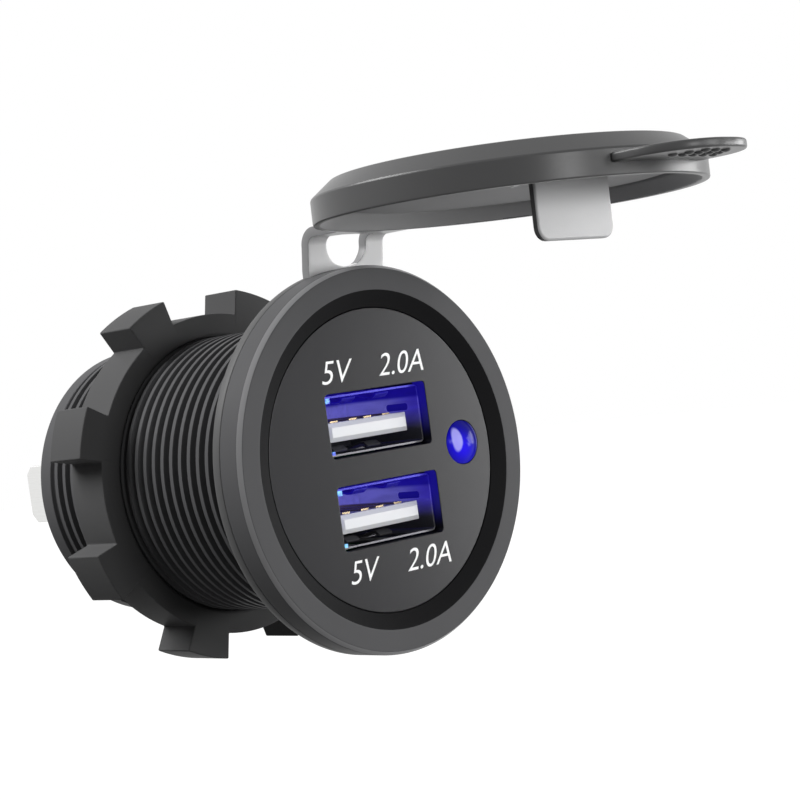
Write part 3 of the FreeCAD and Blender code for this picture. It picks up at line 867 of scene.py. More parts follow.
@dataclass(frozen=True)
class LampLens(Finish):
    """Cast blue lens, deep blue at its rim, with painted shade towards its upper right and
    a painted highlight oval.
    """

    centre: Point
    radius: float
    highlight_place: Pair = (-0.75, 0.45)
    highlight_size: Pair = (0.95, 1.35)
    highlight_narrow: float = 2.2
    shaded_side_colour: Colour = (0.002, 0.002, 0.05)
    deep_colour: Colour = (0.006, 0.005, 0.30)
    rim_and_shade_glow: Colour = (0.002, 0.001, 0.16)
    deep_glow: Colour = (0.018, 0.004, 0.80)
    highlight_glow: Colour = (0.42, 0.40, 0.85)

    def paint(self, board: Board, shader: Node) -> None:
        """Shade the lens, with painted shade towards its upper right, and paint a bright
        highlight oval on it.

        Args:
            board: the material's board.
            shader: its Principled shader.
        """
        off = board.off(metres(self.centre))
        x, _, z = board.axes(off)
        core = board.ramp(board.length(off), self.radius * MM, 0.25 * self.radius * MM)
        # Painted shade: the lens is darker towards its upper right than towards its lower
        # left.
        low = board.ramp(board.maths("ADD", x, z), 1.6 * self.radius * MM,
                         -0.6 * self.radius * MM)
        # Painted highlight: a bright oval towards the lens's upper left.
        side = board.maths("ABSOLUTE", board.maths("SUBTRACT", x, self.highlight_place[0] * MM))
        rise = board.maths("ABSOLUTE", board.maths("SUBTRACT", z, self.highlight_place[1] * MM))
        across = board.maths("POWER", board.maths("MULTIPLY", side, self.highlight_narrow), 2.0)
        reach = board.maths("SQRT", board.maths("ADD", across,
                                                board.maths("POWER", rise, 2.0)))
        highlight = board.ramp(reach, self.highlight_size[1] * MM, self.highlight_size[0] * MM)
        body = board.blend(board.maths("MULTIPLY", core, low), self.rim_and_shade_glow,
                           self.deep_glow)
        board.fill(shader, {
            "Base Color": board.blend(low, self.shaded_side_colour, self.deep_colour),
            "Emission Color": board.blend(highlight, body, self.highlight_glow),
            "Emission Strength": 0.8, "IOR": 1.15, "Roughness": 0.16,
        })


@dataclass(frozen=True)
class Laminate(Finish):
    """Green-masked glass laminate with its weave showing faintly."""

    def paint(self, board: Board, shader: Node) -> None:
        """Weave the laminate.

        Args:
            board: the material's board.
            shader: its Principled shader.
        """
        weave = board.add("ShaderNodeTexBrick", {
            "Vector": board.place(), "Scale": 900.0, "Mortar Size": 0.08,
            "Color1": (0.012, 0.10, 0.035), "Color2": (0.016, 0.13, 0.045),
            "Mortar": (0.008, 0.06, 0.02)})
        board.fill(shader, {"Base Color": weave.outputs["Color"], "Roughness": 0.3})


BODY = Moulding("satin_body", (0.088, 0.088, 0.091), roughness=0.40, ior=1.08)
# Painted highlight: a lighter copy of the body plastic for the flange's front chamfer.
EDGE = Moulding("painted_highlight_chamfer", (0.22, 0.22, 0.225), roughness=0.35, ior=1.2)
# Painted shade: a near-black copy of the body plastic for the cone inside the flange's
# mouth.
PAINTED_SHADE_CONE = Moulding("painted_shade_cone", (0.006, 0.006, 0.0065), roughness=0.5, ior=1.1)
FACE = Moulding("fine_face", (0.018, 0.018, 0.020), roughness=0.25, grain=0.08,
                grain_size=0.16, gloss=0.13)
NUT = Moulding("satin_nut", (0.080, 0.080, 0.081), roughness=0.46, grain=0.10, ior=1.07)
CAP = Moulding("soft_cap", (0.066, 0.066, 0.067), roughness=0.31, grain=0.05,
               grain_size=0.3, mottle=0.08, ior=1.31)
SEAL = Moulding("dull_seal", (0.085, 0.085, 0.086), roughness=0.45, mottle=0.08, ior=1.2)
# Painted light: a much lighter copy of the cap rubber for the hollow under the lid.
PAINTED_LIGHT_UNDERSIDE = Moulding("painted_light_underside", (0.420, 0.420, 0.424), roughness=0.6, mottle=0.06, ior=1.25)
# Painted light: the strap's rubber is painted far lighter than the cap's.
PAINTED_LIGHT_STRAP = Moulding("painted_light_strap", (0.64, 0.64, 0.645), roughness=0.34, grain=0.06,
                 mottle=0.06, gloss=0.3)
# Painted shade: the strap's sides are painted darker than its faces.
PAINTED_SHADE_STRAP_SIDE = Moulding("painted_shade_strap_side", (0.20, 0.20, 0.203), roughness=0.4,
                      mottle=0.06, ior=1.3)
# Painted light: a lighter copy of the cap rubber for the plug's front.
PAINTED_LIGHT_PLUG_FACE = Moulding("painted_light_plug_face", (0.38, 0.38, 0.385), roughness=0.34, mottle=0.06, ior=1.4)
TONGUE = Moulding("white_tongue", (0.72, 0.73, 0.75), roughness=0.3, grain=0.03,
                  mottle=0.05, rub=0.03, gloss=0.3)
INK = Moulding("white_ink", (0.88, 0.88, 0.88), roughness=0.5, grain=0.05, mottle=0.05)
RESIN = Moulding("black_resin", (0.02, 0.02, 0.02), roughness=0.5)
FERRITE = Moulding("pressed_ferrite", (0.05, 0.05, 0.052), roughness=0.65, grain=0.3)
TIN = Metal("tinned_blade", (0.72, 0.72, 0.71), (0.66, 0.66, 0.65), roughness=0.35)
GOLD = Metal("gold_contact", (0.42, 0.33, 0.20), (0.32, 0.25, 0.15), roughness=0.35)
CAN = Metal("drawn_can", (0.80, 0.81, 0.83), (0.65, 0.66, 0.68), roughness=0.3)
# Painted light: deep blue glow in the slits round the ports and on the sheets behind the
# side slots.
LIT_GAP = LitGap("lit_gap", PORT_LEVELS)
# Painted glints on small beads at the port mouths.
GLINT = Glint("painted_glint", (0.25, 0.80, 1.0))
MASK = Laminate("green_laminate")


def dress(piece: Piece, slot: Slot, finish: Finish, *nodes: str) -> None:
    """Give a piece its finish, and hide the solids that it stands for.

    Args:
        piece: the finished mesh object.
        slot: the record's slot of its finish; not used.
        finish: its own finish.
        nodes: the solids that it stands for.
    """
    piece.data.materials.clear()
    piece.data.materials.append(finish.material())
    if nodes:
        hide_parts(*nodes)
    LOG.info("%s: %d faces", piece.name, len(piece.data.polygons))


def mount(piece: Piece, body: Body, slot: Slot, finish: Finish, *nodes: str) -> None:
    """Dress a finished piece and let it ride on its body."""
    dress(piece, slot, finish, *nodes)
    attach(piece, body.value)


def inlay(piece: Piece, finish: Finish, test: Test) -> None:
    """Give the faces that a test accepts a finish of their own.

    Args:
        piece: the dressed mesh object.
        finish: the second finish.
        test: takes a face's middle in millimetres and its normal.
    """
    activate(piece)
    bpy.ops.object.material_slot_add()
    piece.material_slots[-1].material = finish.material()
    piece.active_material_index = len(piece.material_slots) - 1
    with editing(piece):
        pick(Pick.FACES, test)
        bpy.ops.object.material_slot_assign()


# Sub-assemblies.


@dataclass
class Housing:
    """Flange and threaded barrel, with the rear cover and its blades."""

    flange_radius: float = 18.8
    flange_front: float = -3.9
    flange_rear: float = -1.1
    flange_bevel: Pair = (0.35, 0.5)
    mouth_radius: float = 16.4
    seat_radius: float = 14.76
    seat_rear: float = -1.6
    face: float = -3.2
    crest_radius: float = 14.25
    root_radius: float = 13.72
    pitch: float = 1.38
    first_turn: float = 0.25
    turns: int = 23
    ridge_half_widths: Point = (0.58, 0.33, 0.24)
    ridge_step: float = 0.12
    run_out: Pair = (0.30, 0.52)
    lip_start: float = 32.6
    lip_radius: float = 14.1
    lip_bevel: float = 0.45
    rear: float = 34.8
    bore_radius: float = 12.4
    shoulder: float = 12.2
    rear_bore_radius: float = 11.6
    cover_seat_radius: float = 12.65
    cover_radius: float = 12.6
    cover_recess_radius: float = 11.2
    cover_recess: float = 0.4
    boss_half_size: Pair = (1.7, 4.3)
    boss_rise: float = 1.6
    boss_corner: float = 0.6
    slot_half_size: Pair = (0.42, 3.17)
    blade_place: float = 7.5
    blade_thickness: float = 0.8
    blade_half_width: float = 3.15
    blade_root: float = 27.6
    blade_tip: float = 45.8
    blade_bevel: float = 0.9
    catch_place: float = 41.8
    catch_radius: float = 0.9

    def build(self) -> None:
        """Build and dress the housing, its thread, the cover and the blades."""
        self.shell()
        self.thread()
        self.cover()
        self.blade("positive_blade", self.blade_place)
        self.blade("negative_blade", -self.blade_place)

    def shell(self) -> None:
        """Spin the flange and the barrel's core, with rounded edges."""
        inward, backward = self.flange_bevel
        profile = [
            (self.mouth_radius, self.flange_front),
            (self.flange_radius - inward, self.flange_front),
            (self.flange_radius, self.flange_front + backward),
            (self.flange_radius, self.flange_rear),
            (self.crest_radius, self.flange_rear), (self.crest_radius, self.run_out[0]),
            (self.root_radius, self.run_out[1]),
            (self.root_radius, self.lip_start - 0.2),
            (self.lip_radius, self.lip_start),
            (self.lip_radius, self.rear - self.lip_bevel),
            (self.lip_radius - self.lip_bevel, self.rear),
            (self.cover_seat_radius, self.rear),
            (self.cover_seat_radius, self.lip_start),
            (self.rear_bore_radius, self.lip_start),
            (self.rear_bore_radius, self.shoulder),
            (self.bore_radius, self.shoulder), (self.bore_radius, self.seat_rear),
            (self.seat_radius, self.seat_rear), (self.seat_radius, self.face),
        ]
        piece = spin("housing_shell", profile, steps=256)
        soften(piece, 0.09, angle=20)
        mount(smooth(piece), Body.SOCKET, Slot.BODY, BODY, "housing")
        # Painted shade: the cone inside the mouth takes the near-black copy of the body
        # plastic.
        inlay(piece, PAINTED_SHADE_CONE, lambda at, _: math.hypot(at.x, at.z) < self.mouth_radius - 0.04
              and at.y < self.face + 0.2)
        # Painted highlight: the flange's front chamfer takes the lighter copy of the body
        # plastic.
        inlay(piece, EDGE, lambda at, _: math.hypot(at.x, at.z)
              > self.flange_radius - inward + 0.02
              and at.y < self.flange_front + backward - 0.03)

    def thread(self) -> None:
        """Wind the thread's ridge round the barrel as one long helix."""
        outer, inner = self.crest_radius, self.root_radius - self.ridge_step
        half = list(zip((inner, outer - self.ridge_step, outer), self.ridge_half_widths))
        ridge = ([(radius, self.first_turn - wide) for radius, wide in half]
                 + [(radius, self.first_turn + wide) for radius, wide in half[::-1]])
        piece = chain("housing_thread", [(x, y, 0.0) for x, y in ridge], closed=True)
        shape(piece, "SCREW", axis="Y", angle=math.tau, screw_offset=self.pitch * MM,
              iterations=self.turns, steps=120, render_steps=120,
              use_merge_vertices=False, use_normal_calculate=False)
        with editing(piece):
            face_outwards()
        mount(smooth(piece, 50), Body.SOCKET, Slot.BODY, BODY)

    def cover(self) -> None:
        """Make the rear cover with a rimmed recess and a boss for each blade."""
        floor = self.rear - self.cover_recess
        plate = spin("rear_cover_disc", [
            (0.0, self.lip_start), (self.cover_radius, self.lip_start),
            (self.cover_radius, self.rear), (self.cover_recess_radius, self.rear),
            (self.cover_recess_radius - 0.3, floor), (0.0, floor),
        ], closed=False, steps=128)
        middles = (-self.blade_place, self.blade_place)
        w, h = self.boss_half_size
        combine(Mix.JOIN, plate, *[
            block("rear_cover_boss", (x - w, self.rear - 0.9, -h),
                  (x + w, self.rear + self.boss_rise, h), corner=self.boss_corner)
            for x in middles])
        soften(plate, 0.12, segments=2, angle=35)
        w, h = self.slot_half_size
        combine(Mix.CUT, plate, *[
            block("slot", (x - w, self.lip_start - 0.6, -h), (x + w, self.rear + 2.2, h))
            for x in middles])
        plate.name = "rear_cover_plate"
        mount(smooth(plate), Body.SOCKET, Slot.BODY, BODY, "rear_cover")

    def blade(self, name: str, x: float) -> None:
        """Make one blade terminal with a bevelled tip and a catch hole.

        Args:
            name: the solid that it stands for.
            x: its place across the barrel.
        """
        side, half = x - self.blade_thickness / 2, self.blade_half_width
        bend, corner = self.blade_tip - self.blade_bevel, half - self.blade_bevel
        outline = [(side, self.blade_root, -half), (side, bend, -half),
                   (side, self.blade_tip, -corner), (side, self.blade_tip, corner),
                   (side, bend, half), (side, self.blade_root, half)]
        piece = cut_sheet(f"{name}_tab", outline, (self.blade_thickness, 0.0, 0.0))
        combine(Mix.CUT, piece, drum("hole", (x, self.catch_place, 0.0),
                                     self.catch_radius, 3.0, steps=48, axis=Axis.X))
        soften(piece, 0.14, segments=2, angle=40)
        mount(smooth(piece), Body.SOCKET, Slot.BLADE, TIN, name)


@dataclass
class RingNut:
    """Castellated nut with eight lugs."""

    front: float = 19.9
    rear: float = 25.1
    bore: float = 14.3
    lead_in: float = 0.3
    ring_radius: float = 16.7
    lug_radius: float = 19.35
    lug_half_angle: float = 8.0
    lug_turn: float = 25.7
    lugs: int = 8

    def on_lug(self, at: Vector, line: Vector) -> bool:
        """Tell whether a face of the ring is where a lug stands.

        Args:
            at: the face's middle in millimetres.
            line: its normal.

        Returns:
            Whether it is.
        """
        pitch = 360.0 / self.lugs
        angle = math.degrees(math.atan2(at.z, at.x)) - self.lug_turn
        off = (angle + pitch / 2) % pitch - pitch / 2
        outside = math.hypot(at.x, at.z) > self.ring_radius - 0.1 and abs(line.y) < 0.5
        return outside and abs(off) < self.lug_half_angle

    def build(self) -> None:
        """Spin the ring, draw out its lugs and dress it."""
        wide = self.bore + self.lead_in
        piece = spin("ring_nut_moulding", [
            (wide, self.front), (self.ring_radius, self.front),
            (self.ring_radius, self.rear), (wide, self.rear),
            (self.bore, self.rear - self.lead_in),
            (self.bore, self.front + self.lead_in),
        ], steps=720)
        grow = self.lug_radius / self.ring_radius
        with editing(piece):
            pick(Pick.FACES, self.on_lug)
            extrude(Vector())
            bpy.ops.transform.resize(value=(grow, 1, grow), center_override=(0, 0, 0))
            face_outwards()
        soften(piece, 0.22, angle=35)
        mount(smooth(piece), Body.NUT, Slot.NUT, NUT, "ring_nut")


@dataclass
class FacePlate:
    """Recessed front plate, its printed ratings and the lamp."""

    front: float = -3.2
    rear: float = -1.6
    radius: float = 14.7
    port_width: float = 13.4
    port_height: float = 6.15
    port_levels: Pair = PORT_LEVELS
    lamp_place: Pair = (10.9, 0.35)
    lamp_radius: float = 2.15
    lamp_height: float = 0.75
    lamp_stem: Pair = (1.45, 0.8)
    port_corner: float = 0.4
    letter_height: float = 2.15
    letter_slant: float = 0.3
    letter_thinning: float = -0.006
    ink_thickness: float = 0.012

    def build(self) -> None:
        """Build and dress the plate, the lamp and the ratings."""
        self.plate()
        self.lamp()
        self.ratings()

    def plate(self) -> None:
        """Cut the ports and the lamp's hole in a disc and round their edges."""
        middle = (self.front + self.rear) / 2
        piece = drum("face_plate_disc", (0.0, middle, 0.0), self.radius,
                     self.rear - self.front, steps=192)
        w, h = self.port_width / 2, self.port_height / 2
        cutters = [block("port", (-w, self.front - 1.8, level - h),
                         (w, self.rear + 1.6, level + h), corner=self.port_corner)
                   for level in self.port_levels]
        x, z = self.lamp_place
        cutters.append(drum("lamp_hole", (x, middle, z), self.lamp_radius + 0.05, 6.0))
        combine(Mix.CUT, piece, *cutters)
        soften(piece, 0.08, segments=2, angle=40)
        mount(smooth(piece), Body.SOCKET, Slot.FACE, FACE, "face_plate")
        # Painted light: the walls of the plate's openings glow deep blue.
        inlay(piece, LIT_GAP, lambda at, _: abs(at.x) < w + 0.05
              and self.front + 0.1 < at.y < self.rear - 0.02
              and min(abs(at.z - level) for level in self.port_levels) < h + 0.05)

    def lamp(self) -> None:
        """Spin the lamp's domed lens."""
        x, z = self.lamp_place
        radius, height = self.lamp_radius, self.lamp_height
        sphere = (radius ** 2 + height ** 2) / (2 * height)
        dome = [(radius * t, self.front - height + sphere
                 - math.sqrt(sphere ** 2 - (radius * t) ** 2))
                for t in (0.0, 0.15, 0.3, 0.45, 0.6, 0.72, 0.83, 0.92, 1.0)]
        stem, length = self.lamp_stem
        profile = dome + [(radius, self.rear), (stem, self.rear),
                          (stem, self.rear + length), (0.0, self.rear + length)]
        piece = spin("lamp_lens", profile, centre=(x, 0.0, z), closed=False, steps=96)
        finish = LampLens("blue_lens", (x - 0.4, self.front, z - 0.1), radius)
        mount(smooth(piece, 40), Body.SOCKET, Slot.LENS, finish, "lamp")

    def ratings(self) -> None:
        """Print the voltage and current beside each port."""
        upper, lower = self.port_levels
        for name, text, x, z, width in (
            ("upper_voltage", "5V", -4.7, upper + 5.1, 4.2),
            ("upper_current", "2.0A", 3.75, upper + 5.2, 6.1),
            ("lower_voltage", "5V", -4.5, lower - 5.15, 4.0),
            ("lower_current", "2.0A", 4.1, lower - 5.1, 6.1),
        ):
            self.lettering(name, text, x, z, width)

    def lettering(self, name: str, text: str, x: float, z: float, width: float) -> None:
        """Print one word on the plate.

        Args:
            name: the piece's name.
            text: the word.
            x: the word's middle across the plate.
            z: the word's middle up the plate.
            width: the word's width.
        """
        clear_selection()
        bpy.ops.object.text_add()
        word = named(name).data
        word.body, word.extrude = text, 0.01
        word.shear, word.offset = self.letter_slant, self.letter_thinning
        word.align_x = word.align_y = "CENTER"
        bpy.ops.object.convert(target="MESH")
        piece = bpy.context.object
        piece.scale = (width * MM / piece.dimensions.x,
                       self.letter_height * MM / piece.dimensions.y, 0.002)
        places = [point.co for point in settle(piece).data.vertices]
        low, top = (Vector([edge(place[i] for place in places) for i in range(3)])
                    for edge in (min, max))
        piece.location = -(low + top) / 2
        settle(piece)
        piece.rotation_euler = (QUARTER, 0, 0)
        piece.location = metres((x, self.front - self.ink_thickness, z))
        mount(settle(piece), Body.SOCKET, Slot.FACE, INK)


@dataclass
class ChargePort:
    """One charge port: folded shell with its springs, and the tongue block."""

    prefix: str
    level: float
    front: float = -2.2
    rear: float = 11.0
    half_width: float = 6.6
    half_height: float = 2.87
    wall: float = 0.18
    corner: float = 0.45
    slot_reach: Pair = (1.5, 4.7)
    slot_rise: Pair = (0.4, 1.1)
    window_reach: Pair = (0.4, 5.4)
    window_half_width: float = 1.3
    spring_offset: float = 2.25
    spring_half_width: float = 0.9
    spring_thickness: float = 0.22
    spring_bends: tuple[Pair, ...] = ((3.8, 0.0), (2.6, 0.25), (1.15, 0.62),
                                      (0.55, 0.62), (0.0, 0.25))
    upper_spring: float = 0.55
    lower_spring: float = 2.6
    painted_light_sheet_thickness: float = 0.04
    painted_light_sheet_margin: float = 0.2
    # Painted glints: small glowing beads at the mouth's left corners.
    glint_place: float = 0.85
    glints: tuple[Pair, ...] = ((2.2, 0.5), (-2.75, 0.35))
    tongue_front: float = -1.7
    tongue_half_width: float = 5.4
    tongue_drop: float = 0.63
    tongue_half_height: float = 0.925
    insulator_front: float = 8.0
    insulator_half_size: Pair = (6.25, 2.55)

    def build(self) -> None:
        """Build and dress the shell and the tongue."""
        self.shell()
        self.tongue()

    def shell(self) -> None:
        """Fold the shell: a rounded tube with slots and springs, with painted blue light
        on sheets behind its side slots and painted glints.
        """
        w, h, z, wall, front = (self.half_width, self.half_height, self.level,
                                self.wall, self.front)
        piece = block("tube", (-w, front, z - h), (w, self.rear, z + h),
                      corner=self.corner)
        combine(Mix.CUT, piece, block("inside", (wall - w, front - 1, z - h + wall),
                                      (w - wall, self.rear + 1, z + h - wall),
                                      corner=0.2))
        near, far = (front + reach for reach in self.slot_reach)
        low, high = (z + rise for rise in self.slot_rise)
        cutters = [block("side_slot", (-w - 1, near, low), (w + 1, far, high),
                         corner=0.3, axis=Axis.X)]
        start, end = (front + reach for reach in self.window_reach)
        half = self.window_half_width
        cutters += [block("window", (x - half, start, z - h - 1),
                          (x + half, end, z + h + 1), corner=0.25, axis=Axis.Z,
                          segments=2) for x in (-self.spring_offset, self.spring_offset)]
        combine(Mix.CUT, piece, *cutters)
        soften(piece, 0.05, segments=2, angle=40)
        springs = [self.spring(side, up) for side in (-1, 1) for up in (-1, 1)]
        # Painted light: thin glowing sheets stand behind the side slots.
        thin, margin = self.painted_light_sheet_thickness / 2, self.painted_light_sheet_margin
        painted_light_sheets = [block("painted_light_sheet", (x - thin, near - margin, low - margin),
                        (x + thin, far + margin, high + margin))
                  for x in (-w - 0.05, w + 0.05)]
        left = self.glint_place - w
        # Painted glints: small beads that glow at the mouth's left corners.
        glint_beads = [block("glint", (left, front - 0.02, z + rise),
                       (left + size, front + 0.2, z + rise + size))
                 for rise, size in self.glints]
        piece = gather(f"{self.prefix}_port_shell", [piece, *springs, *painted_light_sheets, *glint_beads])
        # Painted light: the shell and its springs take the sheet with painted blue light.
        mount(smooth(piece), Body.SOCKET, Slot.METAL, self.sheet(),
              f"{self.prefix}_shell")
        # Painted light: the sheets behind the side slots glow deep blue.
        inlay(piece, LIT_GAP, lambda at, _: abs(at.x) > w + 0.01)
        # Painted glints: the beads take the glowing finish.
        inlay(piece, GLINT, lambda at, _: left - 0.01 < at.x < left + 0.51
              and at.y < front + 0.21 and 2.19 < abs(at.z - z) < 2.75)

    def sheet(self) -> PaintedLightPort:
        """Return the finish of this port's sheet, with its painted blue light."""
        return PaintedLightPort(f"{self.prefix}_port_painted_light", self.level)

    def spring(self, side: int, up: int) -> Piece:
        """Bend one latch spring inwards to its contact knee.

        Args:
            side: -1 for the left spring and 1 for the right one.
            up: -1 for the lower spring and 1 for the upper one.

        Returns:
            The mesh object.
        """
        left = side * self.spring_offset - self.spring_half_width
        root = up * (self.half_height - self.wall / 2)
        tip = self.front + (self.upper_spring if up > 0 else self.lower_spring)
        line = [(left, tip + reach, self.level + root - up * drop)
                for reach, drop in self.spring_bends]
        piece = chain("spring", line)
        with editing(piece):
            select_all()
            extrude(metres((2 * self.spring_half_width, 0, 0)))
        shape(piece, "SOLIDIFY", thickness=self.spring_thickness * MM, offset=0.0)
        return soften(piece, 0.06, segments=2, angle=35)

    def tongue(self) -> None:
        """Make the bevelled tongue on the block that fills the shell's rear."""
        z = self.level - self.tongue_drop
        w, h = self.tongue_half_width, self.tongue_half_height
        bar = block("bar", (-w, self.tongue_front, z - h),
                    (w, self.insulator_front + 0.5, z + h))
        with editing(bar):
            pick(Pick.FACES, lambda at, line: line.y < -0.9)
            bevel(0.45, 1)
        w, h = self.insulator_half_size
        rear = block("block", (-w, self.insulator_front, self.level - h),
                     (w, self.rear, self.level + h))
        piece = gather(f"{self.prefix}_port_tongue", [bar, rear])
        soften(piece, 0.04, segments=2, angle=25)
        mount(smooth(piece, 25), Body.SOCKET, Slot.TONGUE, TONGUE,
              f"{self.prefix}_tongue")
        # Painted light: the front face of the insulator block takes the port's painted
        # blue light.
        inlay(piece, self.sheet(), lambda at, line: line.y < -0.9
              and abs(at.y - self.insulator_front) < 0.05)


@dataclass
class SoftCap:
    """Sealing ring, two-legged strap and lid of the soft cap, open."""

    turn: float = 1.25
    ring_radius: float = 18.8
    ring_bore: float = 14.4
    ring_front: float = -1.1
    centre: Point = (0.0, -23.1, 21.75)
    lid_radius: float = 17.7
    rim_width: float = 0.65
    wall_height: float = 2.3
    top_radius: float = 15.75
    top_height: float = 3.85
    recess: float = 1.3
    recess_radius: float = 15.75
    groove_width: float = 1.1
    groove_depth: float = 0.35
    plug_place: float = 7.405
    plug_thickness: float = 0.75
    plug_half_width: float = 5.0
    plug_length: float = 4.15
    plug_corner: float = 1.2
    tab_half_width: float = 5.9
    tab_reach: float = 6.65
    tab_corner: float = 5.4
    tab_low: float = 1.05
    tab_thickness: float = 0.8
    dot_radius: float = 0.42
    dot_flatness: float = 0.6
    dot_margin: float = 1.5
    dot_pitch: Pair = (1.35, 1.15)
    dot_stagger: float = 0.67
    strap_half_width: float = 4.95
    strap_thickness: float = 1.0
    strap_foot: float = 17.2
    strap_bend: float = 21.05
    strap_radius: float = 1.3
    strap_reach: float = 3.3
    strap_lean: float = 0.14
    strap_grid: tuple[int, int] = (18, 72)
    gap_low: float = 1.75
    gap_high: float = 2.3
    gap_narrow: float = 1.35
    gap_wide: float = 2.6
    gap_rise: float = 2.0
    gap_foot: float = 0.6
    gap_corner: float = 1.1
    gap_least: float = 0.26

    def build(self) -> None:
        """Build and dress the ring, the strap and the lid."""
        self.ring()
        self.strap()
        self.lid()

    def turned(self, piece: Piece) -> Piece:
        """Turn a piece with the cap about the barrel, and return it."""
        piece.rotation_euler = (0.0, math.radians(self.turn), 0.0)
        return settle(piece)

    def turned_place(self, place: Point) -> Vector:
        """Return a place in the cap's own frame in metres, turned with the cap."""
        return Matrix.Rotation(math.radians(self.turn), 3, "Y") @ metres(place)

    def ring(self) -> None:
        """Spin the sealing ring behind the flange."""
        piece = spin("cap_ring_moulding", [
            (self.ring_bore, self.ring_front), (self.ring_radius, self.ring_front),
            (self.ring_radius, 0.0), (self.ring_bore, 0.0)], steps=256)
        soften(piece, 0.16, angle=40)
        mount(smooth(piece), Body.SOCKET, Slot.CAP, SEAL, "cap_ring")

    def lid(self) -> None:
        """Spin the lid, then add its thumb tab, grip dots and plug."""
        groove = self.recess_radius - self.groove_width
        deep = self.recess + self.groove_depth
        piece = spin("cap_lid_shell", [
            (0.0, self.recess), (groove, self.recess), (groove + 0.2, deep),
            (self.recess_radius, deep), (self.recess_radius, self.recess),
            (self.lid_radius - self.rim_width, 0.0), (self.lid_radius, 0.0),
            (self.lid_radius, self.wall_height),
            (self.top_radius, self.top_height), (0.0, self.top_height),
        ], axis=Axis.Z, centre=self.centre, closed=False, steps=256)
        soften(piece, 0.16, segments=4, angle=20)
        parts = [piece, self.tab(), self.plug(), *self.dots()]
        piece = self.turned(gather("cap_lid_moulding", parts))
        mount(smooth(piece, 30), Body.LID, Slot.CAP, CAP, "cap_lid")
        # Painted light: the hollow under the lid takes the much lighter copy of the cap
        # rubber.
        inlay(piece, PAINTED_LIGHT_UNDERSIDE, self.under_lid)
        # Painted light: the plug's front takes the lighter copy of the cap rubber.
        inlay(piece, PAINTED_LIGHT_PLUG_FACE, self.on_plug)

    def under_lid(self, at: Vector, line: Vector) -> bool:
        """Tell whether a face lies in the hollow under the lid.

        Args:
            at: the face's middle in millimetres.
            line: its normal.

        Returns:
            Whether it does.
        """
        x, y = at.x, at.y - self.centre[1]
        reach = math.hypot(x, y)
        inward = line.x * x + line.y * y < -0.4 * reach
        plug = abs(x) < self.plug_half_width + 0.2 and abs(y + self.plug_place) < 1.2
        below = line.z < -0.9 and reach < self.recess_radius + 0.55
        return reach < self.lid_radius - 0.4 and not plug and (inward or below)

    def on_plug(self, at: Vector, line: Vector) -> bool:
        """Tell whether a face is on the side of the plug that shows.

        Args:
            at: the face's middle in millimetres.
            line: its normal.

        Returns:
            Whether it is.
        """
        off = at - self.turned_place(self.centre) / MM
        near = -0.05 < off.y + self.plug_place < 0.8
        inside = off.z < self.recess - 0.02 and abs(off.x) < self.plug_half_width + 0.2
        return line.y < -0.45 and near and inside

    def tab(self) -> Piece:
        """Make the thumb tab with rounded corners.

        Returns:
            The mesh object.
        """
        _, y, z = self.centre
        inner, w = y - self.lid_radius + 1.0, self.tab_half_width
        outer = y - self.lid_radius - self.tab_reach
        low = z + self.tab_low
        piece = cut_sheet("tab", [(-w, inner, low), (-w, outer, low), (w, outer, low),
                                  (w, inner, low)], (0.0, 0.0, self.tab_thickness))
        with editing(piece):
            pick(Pick.EDGES, lambda at, line: abs(line.z) > 0.99 and at.y < outer + 0.1)
            bevel(self.tab_corner, 20)
        return soften(piece, 0.2, angle=50)

    def dots(self) -> list[Piece]:
        """Set three rows of grip dots under the tab.

        Returns:
            The mesh objects.
        """
        _, y, z = self.centre
        tip = y - self.lid_radius - self.tab_reach + self.dot_margin
        wide, deep = self.dot_pitch
        dots = []
        for row in range(3):
            for column in range(-2, 3 - row % 2):
                if abs(column) < 2 + row:
                    clear_selection()
                    place = metres((column * wide + row % 2 * self.dot_stagger,
                                    tip + row * deep, z + self.tab_low))
                    bpy.ops.mesh.primitive_uv_sphere_add(
                        segments=16, ring_count=8, radius=self.dot_radius * MM,
                        scale=(1, 1, self.dot_flatness), location=place)
                    dots.append(settle(named("dot")))
        return dots

    def plug(self) -> Piece:
        """Make the plug that enters the lower port when the lid is shut.

        Returns:
            The mesh object.
        """
        _, y, z = self.centre
        outer = y - self.plug_place
        low, w = z - self.plug_length, self.plug_half_width
        piece = block("plug", (-w, outer, low),
                      (w, outer + self.plug_thickness, z + self.recess + 0.1))
        with editing(piece):
            pick(Pick.EDGES, lambda at, line: abs(line.y) > 0.99 and at.z < low + 0.1)
            bevel(self.plug_corner, 8)
        return soften(piece, 0.26, segments=4, angle=25)

    def strap(self) -> None:
        """Bend the two-legged strap from the ring up and forward to the lid."""
        clear_selection()
        columns, rows = self.strap_grid
        bpy.ops.mesh.primitive_grid_add(x_subdivisions=columns, y_subdivisions=rows,
                                        size=1.0)
        piece = named("cap_strap_moulding")
        with editing(piece):
            move_points(self.laid_flat)
            pick(Pick.FACES, lambda at, _: abs(at.x) < self.gap(at.y) - 1e-3)
            bpy.ops.mesh.delete(type="FACE")
        shape(piece, "SOLIDIFY", thickness=self.strap_thickness * MM, offset=0.0)
        with editing(piece):
            move_points(lambda place: metres(self.on_path(*(place / MM))))
            face_outwards()
        soften(piece, 0.14, angle=50)
        smooth(self.turned(piece), 40)
        # Painted light: the strap takes a light grey copy of the cap rubber.
        dress(piece, Slot.CAP, PAINTED_LIGHT_STRAP, "cap_strap")
